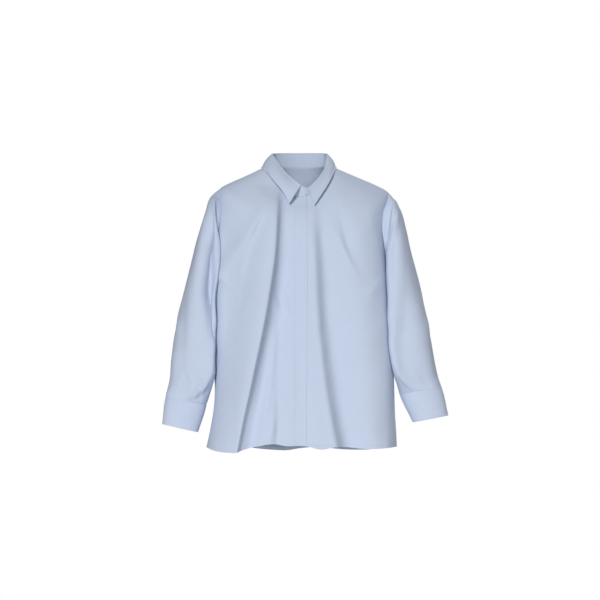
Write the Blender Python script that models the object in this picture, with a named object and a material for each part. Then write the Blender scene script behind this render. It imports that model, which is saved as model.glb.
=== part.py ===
"""A long-sleeved broadcloth shirt, buttoned to the neck and filled out as it is when worn.

The shirt is cut and sewn from flat cloth: two fronts, a fly placket that hides the front buttons, one
plain back, two sleeves, two cuffs with a button each, a collar stand and a turned-down collar.
Each piece is a cloth wall of its own, and pieces that are sewn together stop a seam gap apart.

+X is the wearer's left, -Y is the front and +Z is up. The origin is the middle of the neck opening at
the height of the shoulders, where the wearer holds the shirt up. Tables and names are in millimetres.
"""

import math
from collections import namedtuple

import bmesh
import bpy
import numpy as np
from mathutils import Matrix, Vector
from mathutils.bvhtree import BVHTree

# ---------------------------------------------------------------- driving sizes, in millimetres

MM = 0.001
WALL = 1.5                # cloth with its seams and turnings, taken as one even wall
SEAM_GAP = 0.3            # left between two pieces that are sewn together
LAYER_GAP = 0.4           # left between two pieces that lie on each other

PLACKET_INNER_X = -13.0   # line of stitches that holds the fly placket
PLACKET_OUTER_X = 15.0    # free edge of the fly placket, which is the edge of the right front
UNDERLAP_BLEND = 60.0     # the left front comes back to the outer surface over this width

STAND_FOLD_DROP = 4.0     # the stand ends this far under the collar's fold
COLLAR_ROLL = 2.6         # radius of the collar's fold
COLLAR_LIFT = 1.6         # room between the collar and the shoulders under it
STAND_CORNER = 10.0       # radius of the stand's front corners

CUFF_OVERLAP = 26.0       # degrees of the cuff's ring where its ends lie on each other
CUFF_OPENING = 285.0      # where the overlap lies on the ring: 0 is outermost, 90 front, 270 back
BUTTON_RADIUS = 5.0
BUTTON_THICKNESS = 2.4
BUTTON_SEAT = 0.7         # room between the button's flat back and the curve of the cuff
BUTTON_ROUND = 0.6        # how far the button's edges are rounded off
BUTTON_RIM = 1.4          # width of its raised rim, and the dish inside it is BUTTON_ROUND deep
SLEEVE_CLEAR = 2.5        # a sleeve hangs at least this far from the body

SHIRT_BLUE = (0.58, 0.66, 0.80, 1.0)
BUTTON_BLUE = (0.66, 0.72, 0.82, 1.0)

# ---------------------------------------------------------------- tables

# The torso's rings, from the hem to the neck. A ring rises from its front and back to its sides, square
# is how much it fills out at its corners, and chest the share of its width that it keeps away from its sides.
Ring = namedtuple("Ring", "level front_z right_z left_z back_z right left front back square chest")
TORSO = (
    #    level front_z right_z left_z  back_z  right  left   front  back   square chest
    Ring(0.00, -678.0, -680.0, -678.0, -686.0, 222.0, 236.0, 124.0, 122.0, 0.140, 1.00),
    Ring(0.12, -590.0, -590.0, -590.0, -594.0, 208.0, 230.0, 122.0, 118.0, 0.140, 1.00),
    Ring(0.28, -490.0, -490.0, -490.0, -492.0, 209.0, 226.0, 119.0, 112.0, 0.140, 1.00),
    Ring(0.45, -370.0, -370.0, -370.0, -371.0, 212.0, 218.0, 117.0, 109.0, 0.140, 1.00),
    Ring(0.64, -240.0, -236.0, -236.0, -240.0, 212.0, 208.0, 116.0, 113.0, 0.140, 1.00),
    Ring(0.74, -188.0, -152.0, -155.0, -165.0, 208.0, 206.0, 113.0, 116.0, 0.135, 0.99),
    Ring(0.82, -153.0, -92.0,  -98.0,  -118.0, 201.0, 211.0, 107.0, 112.0, 0.125, 0.93),
    Ring(0.88, -126.0, -45.0,  -54.0,  -80.0,  195.0, 215.0, 99.0,  102.0, 0.110, 0.82),
    Ring(0.91, -112.0, -31.0,  -38.0,  -60.0,  170.0, 187.0, 93.0,  94.0,  0.100, 0.84),
    Ring(0.94, -98.0,  -17.0,  -22.0,  -40.0,  138.0, 150.0, 85.0,  84.0,  0.090, 0.90),
    Ring(0.97, -83.0,  -2.0,   -5.0,   -16.0,  106.0, 110.0, 74.0,  73.0,  0.050, 0.96),
    Ring(1.00, -66.0,  12.0,   10.0,   8.0,    77.0,  76.0,  62.0,  62.0,  0.000, 1.00),
)

# The armhole is an oval on the torso's surface, from the underarm to the shoulder tip.
UNDERARM_LEVEL = 0.64
SHOULDER_LEVEL = 0.88
ARMHOLE_REACH_FRONT = 27.0   # degrees round the torso, from its side
ARMHOLE_REACH_BACK = 29.0

# Heights at which the fold tables give a fold's place and rise.
FOLD_Z = (-680.0, -500.0, -340.0, -200.0, -90.0)

# A fold runs down the cloth at x680, x500... and rises by r680, r500... there; below 0 it is a trough.
# It fades over right_reach towards the wearer's right and left_reach towards the left.
Fold = namedtuple("Fold", "name x680 x500 x340 x200 x90 r680 r500 r340 r200 r90 right_reach left_reach")
FRONT_FOLDS = (
    #    name                x680  x500  x340  x200  x90   r680 r500 r340 r200 r90  right left
    Fold("great ridge",      -170, -124, -95,  -76,  -70,  15,  14,  12,  8,   2,   30,   17),
    Fold("great trough",     -134, -87,  -60,  -44,  -42,  -9,  -10, -9,  -7,  -2,  16,   16),
    Fold("narrow ridge",     -108, -84,  -59,  -50,  -45,  7,   6,   2,   0,   0,   12,   11),
    Fold("placket trough",   -42,  -44,  -44,  -42,  -40,  -7,  -6,  -3,  0,   0,   13,   13),
    Fold("bust crease",      -175, -165, -148, -124, -78,  0,   0,   -3,  -6,  -2,  20,   15),
    Fold("underarm drag",    -200, -200, -200, -160, -100, 0,   0,   0,   4,   1,   14,   14),
    Fold("side trough",      -206, -180, -160, -150, -150, -4,  -4,  0,   0,   0,   24,   22),
    Fold("left ridge",       86,   50,   40,   36,   29,   12,  10,  7,   5,   1,   13,   11),
    Fold("left trough",      124,  83,   66,   61,   54,   -10, -10, -8,  -6,  -1,  12,   27),
    Fold("chest ridge",      190,  180,  165,  107,  62,   0,   0,   1,   4,   1,   17,   17),
    Fold("chest trough",     150,  150,  150,  119,  109,  0,   0,   -1,  -3,  -1,  14,   14),
    Fold("hem ridge",        168,  166,  160,  150,  150,  5,   3,   0,   0,   0,   16,   14),
    Fold("hem trough",       194,  190,  180,  170,  170,  -6,  -3,  0,   0,   0,   12,   11),
)
BACK_FOLDS = (
    #    name                x680  x500  x340  x200  x90   r680 r500 r340 r200 r90  right left
    Fold("outer right",      -165, -152, -140, -128, -120, 9,   7,   4,   1,   0,   22,   16),
    Fold("right trough",     -122, -114, -108, -100, -96,  -8,  -7,  -4,  -1,  0,   18,   20),
    Fold("inner right",      -70,  -70,  -72,  -72,  -70,  13,  11,  7,   3,   0,   22,   15),
    Fold("middle trough",    -26,  -32,  -38,  -40,  -40,  -9,  -8,  -5,  -2,  0,   16,   22),
    Fold("inner left",       42,   40,   36,   30,   28,   12,  9,   6,   2,   0,   26,   18),
    Fold("left trough",      92,   84,   76,   66,   60,   -9,  -7,  -4,  -1,  0,   17,   19),
    Fold("outer left",       150,  138,  126,  114,  104,  10,  8,   5,   2,   0,   20,   24),
)
SIDE_FADE = 0.30          # folds fade to nothing at the side seams, from this cosine of the turn
FOLD_WIDTH = 200.0        # folds rise square to an oval of this half width and half depth
FOLD_DEPTH = 118.0

# How far the hem hangs below (-) or above (+) its ring, across the front and across the back.
Hem = namedtuple("Hem", "x front back")
HEM = (
    Hem(-220, 2, 2),
    Hem(-190, -8, -3),
    Hem(-165, -10, 1),
    Hem(-135, -3, 3),
    Hem(-110, 3, 0),
    Hem(-50, 9, -4),
    Hem(-38, 6, -4),
    Hem(0, 6, 1),
    Hem(20, 4, 3),
    Hem(50, -3, 3),
    Hem(75, 2, 1),
    Hem(110, 3, -3),
    Hem(160, -2, -5),
    Hem(234, 2, 2),
)
HEM_REACH = 0.14          # share of the torso's rings over which the hem's waves die out

# A sleeve's rings, from the armhole to the wrist: the underarm side's place and the outer side's place
# on the front view, how far forward the ring's middle lies, its half depth from front to back, and how far
# its front leans in over the body's side.
SleeveRing = namedtuple("SleeveRing", "along under_x under_z outer_x outer_z forward half_depth lean")
RIGHT_SLEEVE = (
    #          along under_x z    outer_x z     forward half_depth lean
    SleeveRing(0.04, 214,   -243, 219,    -65,  0,      62,        8),
    SleeveRing(0.10, 214,   -250, 234,    -103, 1,      68,        18),
    SleeveRing(0.18, 215,   -261, 250,    -157, 4,      72,        26),
    SleeveRing(0.28, 216,   -282, 265,    -215, 10,     73,        31),
    SleeveRing(0.40, 217,   -318, 284,    -287, 18,     70,        34),
    SleeveRing(0.57, 216,   -385, 303,    -372, 25,     63,        36),
    SleeveRing(0.74, 214,   -455, 316,    -456, 29,     55,        34),
    SleeveRing(0.88, 213,   -515, 321,    -512, 31,     47,        25),
    SleeveRing(1.00, 229,   -575, 329,    -557, 29,     33,        0),
)
LEFT_SLEEVE = (
    SleeveRing(0.04, 210,   -243, 229,    -70,  0,      62,        8),
    SleeveRing(0.10, 211,   -250, 247,    -98,  1,      68,        18),
    SleeveRing(0.18, 213,   -261, 262,    -146, 4,      72,        26),
    SleeveRing(0.28, 215,   -282, 275,    -205, 10,     73,        31),
    SleeveRing(0.40, 219,   -318, 293,    -280, 18,     70,        34),
    SleeveRing(0.57, 223,   -385, 314,    -368, 25,     63,        36),
    SleeveRing(0.74, 228,   -447, 327,    -438, 29,     55,        34),
    SleeveRing(0.88, 234,   -503, 339,    -500, 30,     46,        25),
    SleeveRing(1.00, 243,   -549, 346,    -532, 28,     32,        0),
)
RIGHT_CUFF = (
    SleeveRing(0.00, 229,   -575, 329,    -557, 29,     33,        0),
    SleeveRing(1.00, 249,   -641, 337,    -621, 33,     30,        0),
)
LEFT_CUFF = (
    SleeveRing(0.00, 243,   -549, 346,    -532, 28,     32,        0),
    SleeveRing(1.00, 275,   -617, 362,    -600, 32,     30,        0),
)

# Creases down the sleeves: the turn round the ring at four places along, and the rise there. A turn of 0 is
# outermost, 90 the front, 180 the underarm side and 270 the back.
Crease = namedtuple("Crease", "name t0 t33 t66 t100 r0 r33 r66 r100 reach")
CREASE_ALONG = (0.0, 0.33, 0.66, 1.0)
RIGHT_CREASES = (
    #      name              t0   t33  t66  t100 r0  r33  r66  r100 reach
    Crease("armhole crease", 57,  75,  100, 107, -4, -4,  -2,  0,   20),
    Crease("outer trough",   30,  38,  46,  56,  0,  -3,  -4,  -2,  22),
    Crease("inner ridge",    100, 112, 128, 135, 1,  2,   2,   1,   22),
    Crease("back trough",    300, 290, 278, 268, 0,  -5,  -7,  -2,  26),
    Crease("back ridge",     340, 330, 318, 306, 0,  3,   4,   1,   26),
)
LEFT_CREASES = (
    Crease("armhole crease", 75,  100, 130, 146, -4, -2,  0,   0,   20),
    Crease("front trough",   30,  38,  57,  88,  0,  -5,  -6,  -4,  20),
    Crease("front ridge",    66,  82,  98,  120, 1,  3,   3,   1,   22),
    Crease("outer ridge",    4,   10,  20,  44,  0,  2,   3,   1,   22),
    Crease("back trough",    292, 284, 274, 262, 0,  -4,  -6,  -2,  26),
    Crease("back ridge",     334, 322, 312, 300, 0,  3,   5,   1,   26),
)

# The collar, from its right end round the back to its left end. round is the turn about the neck from the
# front middle over the wearer's right. Each station has a place on the collar's fold and the place below
# it on the free edge; at the two ends that is the collar's point.
Station = namedtuple("Station", "name round fold_x fold_y fold_z edge_x edge_y edge_z")
COLLAR = (
    #       name              round fold_x y    z    edge_x y    z
    Station("right end",      0,    2,    -68, -37,  -26,  -86, -83),
    Station("right front",    22,   -17,  -57, -23,  -42,  -80, -54),
    Station("right throat",   45,   -36,  -41, -5,   -61,  -66, -31),
    Station("right neck",     68,   -53,  -19, 18,   -79,  -40, -9),
    Station("right shoulder", 92,   -65,  8,   37,   -94,  -2,  3),
    Station("right nape",     124,  -60,  38,  42,   -82,  46,  3),
    Station("right back",     152,  -34,  54,  43,   -43,  76,  -1),
    Station("back",           180,  0,    59,  43,   0,    84,  -3),
    Station("left back",      208,  34,   54,  43,   43,   76,  -1),
    Station("left nape",      236,  60,   38,  42,   81,   46,  3),
    Station("left shoulder",  268,  64,   8,   34,   88,   -2,  3),
    Station("left neck",      292,  59,   -20, 4,    80,   -42, -14),
    Station("left throat",    313,  47,   -42, -16,  67,   -64, -38),
    Station("left front",     330,  34,   -55, -31,  51,   -78, -63),
    Station("left end",       345,  20,   -66, -43,  35,   -90, -88),
)
COLLAR_BULGE = 3.0        # how far the collar's fall bows out between its fold and its edge

# ---------------------------------------------------------------- grids: how finely each piece is cut

FRONT_COLUMNS = 14
BACK_COLUMNS = 18
PLACKET_COLUMNS = 4
BODY_ROWS = 10            # hem to underarm
ARMHOLE_ROWS = 8          # underarm to shoulder tip
SHOULDER_ROWS = 4         # shoulder tip to neck
SLEEVE_COLUMNS = 2 * ARMHOLE_ROWS
SLEEVE_ROWS = 14
CUFF_COLUMNS = 20
CUFF_ROWS = 2
STAND_ROWS = 1
CORNER_COLUMNS = 3        # columns round each front corner of the stand
COLUMN_APART = 1.5        # columns round the neck are at least this many degrees apart
ROLL_STEPS = 3            # pieces of the collar's half-round fold
FALL_ROWS = 3
BUTTON_SIDES = 16
BODY_ROW_POWER = 1.3      # rows draw together towards the underarm
SLEEVE_ROW_POWER = 1.25   # and towards the armhole
CREASE_START = 0.10       # creases grow in over this share of the sleeve below the armhole
CREASE_END = 0.06         # and die out over this share above the cuff
SHARP_ANGLE = 75.0        # edges of the cloth and of the buttons that are sharper than this stay crisp
TREE_TURNS = 120          # the torso's surface, sampled to keep the collar and the sleeves off it
TREE_LEVELS = 80
TURN_STEP = 0.05          # degrees and shares used to measure a surface's slope
LEVEL_STEP = 0.0005


# ---------------------------------------------------------------- curves and surfaces

def field(table, name):
    """One named column of a table."""
    return np.array([getattr(row, name) for row in table], dtype=float)


def smooth(keys, values, at):
    """A smooth curve through the rows of a table: cubic pieces that share their slopes.

    values may have further axes; the curve is taken along the first.
    """
    keys = np.asarray(keys, dtype=float)
    values = np.asarray(values, dtype=float)
    at = np.clip(np.asarray(at, dtype=float), keys[0], keys[-1])
    step = np.diff(keys)
    shape = (-1,) + (1,) * (values.ndim - 1)
    chord = np.diff(values, axis=0) / step.reshape(shape)
    slope = np.empty_like(values)
    slope[0] = chord[0]
    slope[-1] = chord[-1]
    before = step[:-1].reshape(shape)
    after = step[1:].reshape(shape)
    slope[1:-1] = (chord[:-1] * after + chord[1:] * before) / (before + after)
    piece = np.clip(np.searchsorted(keys, at, side="right") - 1, 0, len(step) - 1)
    span = step[piece]
    part = (at - keys[piece]) / span
    extra = (1,) * (values.ndim - 1)
    span = span.reshape(span.shape + extra)
    part = part.reshape(part.shape + extra)
    return (
        values[piece] * (1 + 2 * part) * (1 - part) ** 2
        + slope[piece] * span * part * (1 - part) ** 2
        + values[piece + 1] * part ** 2 * (3 - 2 * part)
        + slope[piece + 1] * span * part ** 2 * (part - 1)
    )


def ease(value):
    """0 up to 0, 1 from 1 on, and a smooth step between."""
    value = np.clip(value, 0.0, 1.0)
    return value * value * (3.0 - 2.0 * value)


def fold_rise(folds, x, z):
    """How far a table of folds lifts the cloth at each place of the front view."""
    rise = np.zeros_like(x)
    heights = np.array(FOLD_Z)
    for fold in folds:
        middle = smooth(heights, fold[1:6], z)
        height = smooth(heights, fold[6:11], z)
        away = x - middle
        reach = np.where(away < 0, fold.right_reach, fold.left_reach)
        rise += height * np.exp(-(away / reach) ** 2)
    return rise


def torso_form(turn, level):
    """The torso's smooth form. turn is in degrees: 0 front, 90 the wearer's left, 180 back, -90 right."""
    level = np.asarray(level, dtype=float)
    levels = field(TORSO, "level")
    angle = np.radians(turn)
    sine = np.sin(angle)
    cosine = np.cos(angle)
    at_left = sine > 0
    at_front = cosine > 0
    ring = {name: smooth(levels, field(TORSO, name), level) for name in Ring._fields[1:]}
    bulge = 1.0 + ring["square"] * np.sin(2.0 * angle) ** 2
    width = np.where(at_left, ring["left"], ring["right"])
    depth = np.where(at_front, ring["front"], ring["back"])
    side_z = np.where(at_left, ring["left_z"], ring["right_z"])
    middle_z = np.where(at_front, ring["front_z"], ring["back_z"])
    x = width * sine * bulge * (ring["chest"] + (1.0 - ring["chest"]) * sine ** 4)
    y = -depth * cosine * bulge
    z = side_z + (middle_z - side_z) * cosine ** 2
    return x, y, z


def torso_surface(turn, level):
    """The outside of the torso's cloth, with its folds and its hem, as an array of points."""
    turn, level = np.broadcast_arrays(np.asarray(turn, dtype=float), np.asarray(level, dtype=float))
    x, y, z = torso_form(turn, level)
    cosine = np.cos(np.radians(turn))
    at_front = cosine > 0
    fade = ease(np.abs(cosine) / SIDE_FADE)
    rise = np.where(at_front, fold_rise(FRONT_FOLDS, x, z), fold_rise(BACK_FOLDS, x, z)) * fade
    places = field(HEM, "x")
    hang = np.where(at_front, smooth(places, field(HEM, "front"), x), smooth(places, field(HEM, "back"), x))
    hang = hang * (1.0 - ease(level / HEM_REACH))
    out_x = x / FOLD_WIDTH ** 2
    out_y = y / FOLD_DEPTH ** 2
    lift = rise / (np.hypot(out_x, out_y) + 1e-12)
    return np.stack((x + out_x * lift, y + out_y * lift, z + hang), axis=-1)


def normals(surface, a, b, step_a, step_b):
    """Unit normals of surface(a, b), from its slopes."""
    along_a = surface(a + step_a, b) - surface(a - step_a, b)
    along_b = surface(a, b + step_b) - surface(a, b - step_b)
    normal = np.cross(along_a, along_b)
    return normal / np.linalg.norm(normal, axis=-1, keepdims=True)


def torso_normals(turn, level):
    level = np.clip(level, LEVEL_STEP, 1.0 - LEVEL_STEP)
    return normals(torso_surface, turn, level, TURN_STEP, LEVEL_STEP)


def turn_at_x(x, level):
    """The turn at which the front of a ring crosses the given x."""
    levels = field(TORSO, "level")
    left = smooth(levels, field(TORSO, "left"), level)
    right = smooth(levels, field(TORSO, "right"), level)
    chest = smooth(levels, field(TORSO, "chest"), level)
    return np.degrees(np.arcsin(x / np.where(x > 0, left, right) / chest))


def armhole_turn(level, reach):
    """How far the armhole's edge lies from the side of the torso, in degrees."""
    middle = (UNDERARM_LEVEL + SHOULDER_LEVEL) / 2
    half = (SHOULDER_LEVEL - UNDERARM_LEVEL) / 2
    return reach * np.sqrt(np.clip(1.0 - ((level - middle) / half) ** 2, 0.0, 1.0))


def torso_levels():
    """Row heights: even below and above the armhole, and spaced round its oval between."""
    middle = (UNDERARM_LEVEL + SHOULDER_LEVEL) / 2
    half = (SHOULDER_LEVEL - UNDERARM_LEVEL) / 2
    body = UNDERARM_LEVEL * (1.0 - np.linspace(1.0, 0.0, BODY_ROWS + 1) ** BODY_ROW_POWER)
    oval = middle - half * np.cos(np.linspace(0.0, math.pi, ARMHOLE_ROWS + 1))
    shoulder = np.linspace(SHOULDER_LEVEL, 1.0, SHOULDER_ROWS + 1)
    return np.concatenate((body, oval[1:], shoulder[1:]))


# ---------------------------------------------------------------- building solids

def material(name, colour, roughness):
    made = bpy.data.materials.new(name)
    made.use_nodes = True
    shader = made.node_tree.nodes["Principled BSDF"]
    shader.inputs["Base Color"].default_value = colour
    shader.inputs["Roughness"].default_value = roughness
    shader.inputs["Metallic"].default_value = 0.0
    return made


def add_object(name, points, faces, finish):
    """A closed body from points in millimetres, with its faces turned outwards."""
    mesh = bpy.data.meshes.new(name)
    mesh.from_pydata([tuple(point) for point in np.asarray(points) * MM], [], faces)
    shape = bmesh.new()
    shape.from_mesh(mesh)
    bmesh.ops.triangulate(shape, faces=shape.faces)
    if shape.calc_volume(signed=True) < 0:
        bmesh.ops.reverse_faces(shape, faces=shape.faces)
    shape.to_mesh(mesh)
    shape.free()
    mesh.shade_smooth()
    mesh.set_sharp_from_angle(angle=math.radians(SHARP_ANGLE))
    mesh.materials.append(finish)
    made = bpy.data.objects.new(name, mesh)
    bpy.context.scene.collection.objects.link(made)
    return made


def add_wall(name, outer, inner, finish, closed=False):
    """A cloth wall between two grids of points (rows, columns, xyz).

    closed joins the last column to the first.
    """
    rows, columns = outer.shape[:2]
    points = np.concatenate((outer.reshape(-1, 3), inner.reshape(-1, 3)))
    far = rows * columns
    faces = []
    spans = columns if closed else columns - 1

    def index(row, column):
        return row * columns + column % columns

    for row in range(rows - 1):
        for column in range(spans):
            a, b = index(row, column), index(row, column + 1)
            c, d = index(row + 1, column + 1), index(row + 1, column)
            faces.append((a, b, c, d))
            faces.append((far + d, far + c, far + b, far + a))
    for column in range(spans):
        for row, turned in ((0, True), (rows - 1, False)):
            a, b = index(row, column), index(row, column + 1)
            faces.append((b, a, far + a, far + b) if turned else (a, b, far + b, far + a))
    if not closed:
        for row in range(rows - 1):
            for column, turned in ((0, False), (columns - 1, True)):
                a, b = index(row, column), index(row + 1, column)
                faces.append((b, a, far + a, far + b) if turned else (a, b, far + b, far + a))
    return add_object(name, points, faces, finish)


def pull_in(grid, distance, first_row=False, last_row=False, first_column=False, last_column=False):
    """Moves chosen edges of a grid back along the cloth, to leave a seam's gap."""
    grid = grid.copy()

    def shift(edge, inside):
        along = inside - edge
        return edge + along / np.linalg.norm(along, axis=-1, keepdims=True) * distance

    if first_row:
        grid[0] = shift(grid[0], grid[1])
    if last_row:
        grid[-1] = shift(grid[-1], grid[-2])
    if first_column:
        grid[:, 0] = shift(grid[:, 0], grid[:, 1])
    if last_column:
        grid[:, -1] = shift(grid[:, -1], grid[:, -2])
    return grid


def torso_panel(name, turns, levels, finish, inset=0.0):
    """A piece of the torso over a grid of turns, a row for each level, inset under the outer surface."""
    outer = torso_surface(turns, levels[:, None])
    out = torso_normals(turns, levels[:, None])
    outer = outer - out * np.broadcast_to(inset, turns.shape)[..., None]
    outer = pull_in(outer, SEAM_GAP / 2, last_row=True, first_column=True, last_column=True)
    return add_wall(name, outer, outer - out * WALL, finish)


def spread(first, last, columns):
    """Turns of a grid (level, column): evenly spread from first to last on each level."""
    share = np.linspace(0.0, 1.0, columns + 1)
    return first[:, None] + (last - first)[:, None] * share


def placket_turns(levels):
    return spread(turn_at_x(PLACKET_INNER_X, levels), turn_at_x(PLACKET_OUTER_X, levels), PLACKET_COLUMNS)


def right_front_turns(levels):
    side = armhole_turn(levels, ARMHOLE_REACH_FRONT) - 90.0
    return spread(turn_at_x(PLACKET_INNER_X, levels), side, FRONT_COLUMNS)


def left_front_turns(levels):
    """The left front shares the placket's columns under it, and goes on to its own side."""
    side = 90.0 - armhole_turn(levels, ARMHOLE_REACH_FRONT)
    under = placket_turns(levels)
    beyond = spread(under[:, -1], side, FRONT_COLUMNS - 2)
    return np.concatenate((under, beyond[:, 1:]), axis=1)


def back_turns(levels):
    reach = armhole_turn(levels, ARMHOLE_REACH_BACK)
    return spread(90.0 + reach, 270.0 - reach, BACK_COLUMNS)


def build_torso(finish):
    levels = torso_levels()
    torso_panel("front_right", right_front_turns(levels), levels, finish)
    torso_panel("fly_placket", placket_turns(levels), levels, finish)
    torso_panel("back", back_turns(levels), levels, finish)
    turns = left_front_turns(levels)
    x = torso_form(turns, levels[:, None])[0]
    under = WALL + LAYER_GAP
    inset = under * (1.0 - ease((x - PLACKET_OUTER_X) / UNDERLAP_BLEND))
    torso_panel("front_left", turns, levels, finish, inset)


def torso_tree():
    """The torso's outside, to measure distances from."""
    turn = np.linspace(0.0, 360.0, TREE_TURNS + 1)
    level = np.linspace(0.0, 1.0, TREE_LEVELS + 1)
    grid = torso_surface(turn[None, :], level[:, None])
    columns = TREE_TURNS + 1
    faces = []
    for row in range(TREE_LEVELS):
        for column in range(TREE_TURNS):
            a = row * columns + column
            faces.append((a, a + 1, a + columns + 1, a + columns))
    return BVHTree.FromPolygons([Vector(point) for point in grid.reshape(-1, 3)], faces)


def lift_off(grid, tree, clearance):
    """Moves the points of a grid that lie nearer to the tree's surface than the clearance out to it."""
    lifted = grid.copy()
    clearance = np.broadcast_to(clearance, grid.shape[:2])
    for place in np.ndindex(grid.shape[:2]):
        point = Vector(grid[place])
        nearest, normal, _, _ = tree.find_nearest(point)
        height = (point - nearest).dot(normal)
        if height < clearance[place]:
            lifted[place] = point + normal * (clearance[place] - height)
    return lifted


# ---------------------------------------------------------------- sleeves and cuffs

def armhole_loop(side, turn):
    """The armhole's seam on the torso: turn 0 is the shoulder tip, 90 the front, 180 the underarm."""
    turn = np.radians(turn)
    middle = (UNDERARM_LEVEL + SHOULDER_LEVEL) / 2
    half = (SHOULDER_LEVEL - UNDERARM_LEVEL) / 2
    level = middle + half * np.cos(turn)
    reach = np.where(np.sin(turn) > 0, ARMHOLE_REACH_FRONT, ARMHOLE_REACH_BACK)
    around = side * (90.0 - reach * np.sin(turn))
    return around, level


def ring_points(side, rings, turn):
    """Each ring of a sleeve at the given turns, as an array (ring, turn..., xyz)."""
    angle = np.radians(turn)
    found = []
    for ring in rings:
        under = np.array((side * ring.under_x, 0.0, ring.under_z))
        outer = np.array((side * ring.outer_x, 0.0, ring.outer_z))
        middle = (under + outer) / 2 + np.array((0.0, -ring.forward, 0.0))
        across = (outer - under) / 2
        ahead = np.array((0.0, -ring.half_depth, 0.0))
        inward = np.array((-side * ring.lean, 0.0, 0.0))
        point = middle + np.cos(angle)[..., None] * across + np.sin(angle)[..., None] * ahead
        found.append(point + ((1.0 + np.sin(angle)) / 2)[..., None] ** 3 * inward)
    return np.array(found)


def crease_rise(creases, turn, along):
    """How far a table of creases lifts a sleeve's cloth at each turn and place along."""
    rise = np.zeros(np.broadcast(turn, along).shape)
    for crease in creases:
        middle = smooth(CREASE_ALONG, crease[1:5], along)
        height = smooth(CREASE_ALONG, crease[5:9], along)
        away = (turn - middle + 180.0) % 360.0 - 180.0
        rise = rise + height * np.exp(-(away / crease.reach) ** 2)
    return rise


def sleeve_form(side, rings, turn, along):
    """A sleeve's smooth form, from the armhole at along 0 to the wrist at 1."""
    turn, along = np.broadcast_arrays(np.asarray(turn, dtype=float), np.asarray(along, dtype=float))
    around, level = armhole_loop(side, turn[0])
    keys = np.concatenate(((0.0,), field(rings, "along")))
    stack = np.concatenate((torso_surface(around, level)[None], ring_points(side, rings, turn[0])))
    return smooth(keys, stack, along[:, 0])


def sleeve_grids(side, rings, creases, columns, rows):
    """Outer points and outward normals of a sleeve, with its creases."""
    turn = np.arange(columns) * 360.0 / columns
    along = np.linspace(0.0, 1.0, rows + 1) ** SLEEVE_ROW_POWER
    form = sleeve_form(side, rings, np.tile(turn, (rows + 1, 1)), np.tile(along[:, None], (1, columns)))
    out = grid_normals(form, side)
    turns, alongs = np.meshgrid(turn, along)
    reach = ease(alongs / CREASE_START) * ease((1.0 - alongs) / CREASE_END)
    form = form + out * (crease_rise(creases, turns, alongs) * reach)[..., None]
    form = lift_off(form, torso_tree(), SLEEVE_CLEAR * ease(alongs / CREASE_START))
    return form, grid_normals(form, side)


def grid_normals(grid, side):
    """Unit normals of a ring grid (rows, turns, xyz), pointing out of the tube."""
    around = np.roll(grid, -1, axis=1) - np.roll(grid, 1, axis=1)
    down = np.gradient(grid, axis=0)
    normal = np.cross(around, down) * side
    return normal / np.linalg.norm(normal, axis=-1, keepdims=True)


def in_ring_plane(out, side, ring):
    """Normals laid into the plane of a ring, so that the two pieces that meet there end flat."""
    across = np.array((side * (ring.outer_x - ring.under_x), 0.0, ring.outer_z - ring.under_z))
    ahead = np.array((0.0, -ring.half_depth, 0.0))
    axis = np.cross(across, ahead)
    axis /= np.linalg.norm(axis)
    out = out - (out @ axis)[:, None] * axis
    return out / np.linalg.norm(out, axis=-1, keepdims=True)


def build_sleeve(name, side, rings, creases, finish):
    outer, out = sleeve_grids(side, rings, creases, SLEEVE_COLUMNS, SLEEVE_ROWS)
    turn = np.arange(SLEEVE_COLUMNS) * 360.0 / SLEEVE_COLUMNS
    torso_out = torso_normals(*armhole_loop(side, turn))
    share = ease(np.cos(np.radians(turn)) + 0.5)[:, None]
    out[0] = share * torso_out + (1.0 - share) * out[0]
    out[0] /= np.linalg.norm(out[0], axis=-1, keepdims=True)
    out[-1] = in_ring_plane(out[-1], side, rings[-1])
    outer = pull_in(outer, SEAM_GAP, first_row=True)
    outer = pull_in(outer, SEAM_GAP / 2, last_row=True)
    add_wall(name, outer, outer - out * WALL, finish, closed=True)


def cuff_grids(side, rings):
    """Outer points, outward normals and turns of a cuff: a band whose last stretch lies on its first."""
    start = CUFF_OPENING - CUFF_OVERLAP / 2
    turn = np.linspace(start, start + 360.0 + CUFF_OVERLAP, CUFF_COLUMNS + 1)
    stack = ring_points(side, rings, turn)
    share = np.linspace(0.0, 1.0, CUFF_ROWS + 1)
    form = smooth(field(rings, "along"), stack, share)
    planes = [rings[0]] * CUFF_ROWS + [rings[-1]]
    around = np.gradient(form, axis=1)
    down = np.gradient(form, axis=0)
    out = np.cross(around, down) * side
    out = np.array([in_ring_plane(row, side, ring) for row, ring in zip(out, planes)])
    lift = (WALL + LAYER_GAP) * ease((turn - start - 360.0) / CUFF_OVERLAP + 1.0)
    return form + out * lift[None, :, None], out, turn


def build_cuff(name, side, rings, finish):
    outer, out, _ = cuff_grids(side, rings)
    outer = pull_in(outer, SEAM_GAP / 2, first_row=True)
    add_wall(name, outer, outer - out * WALL, finish)


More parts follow.
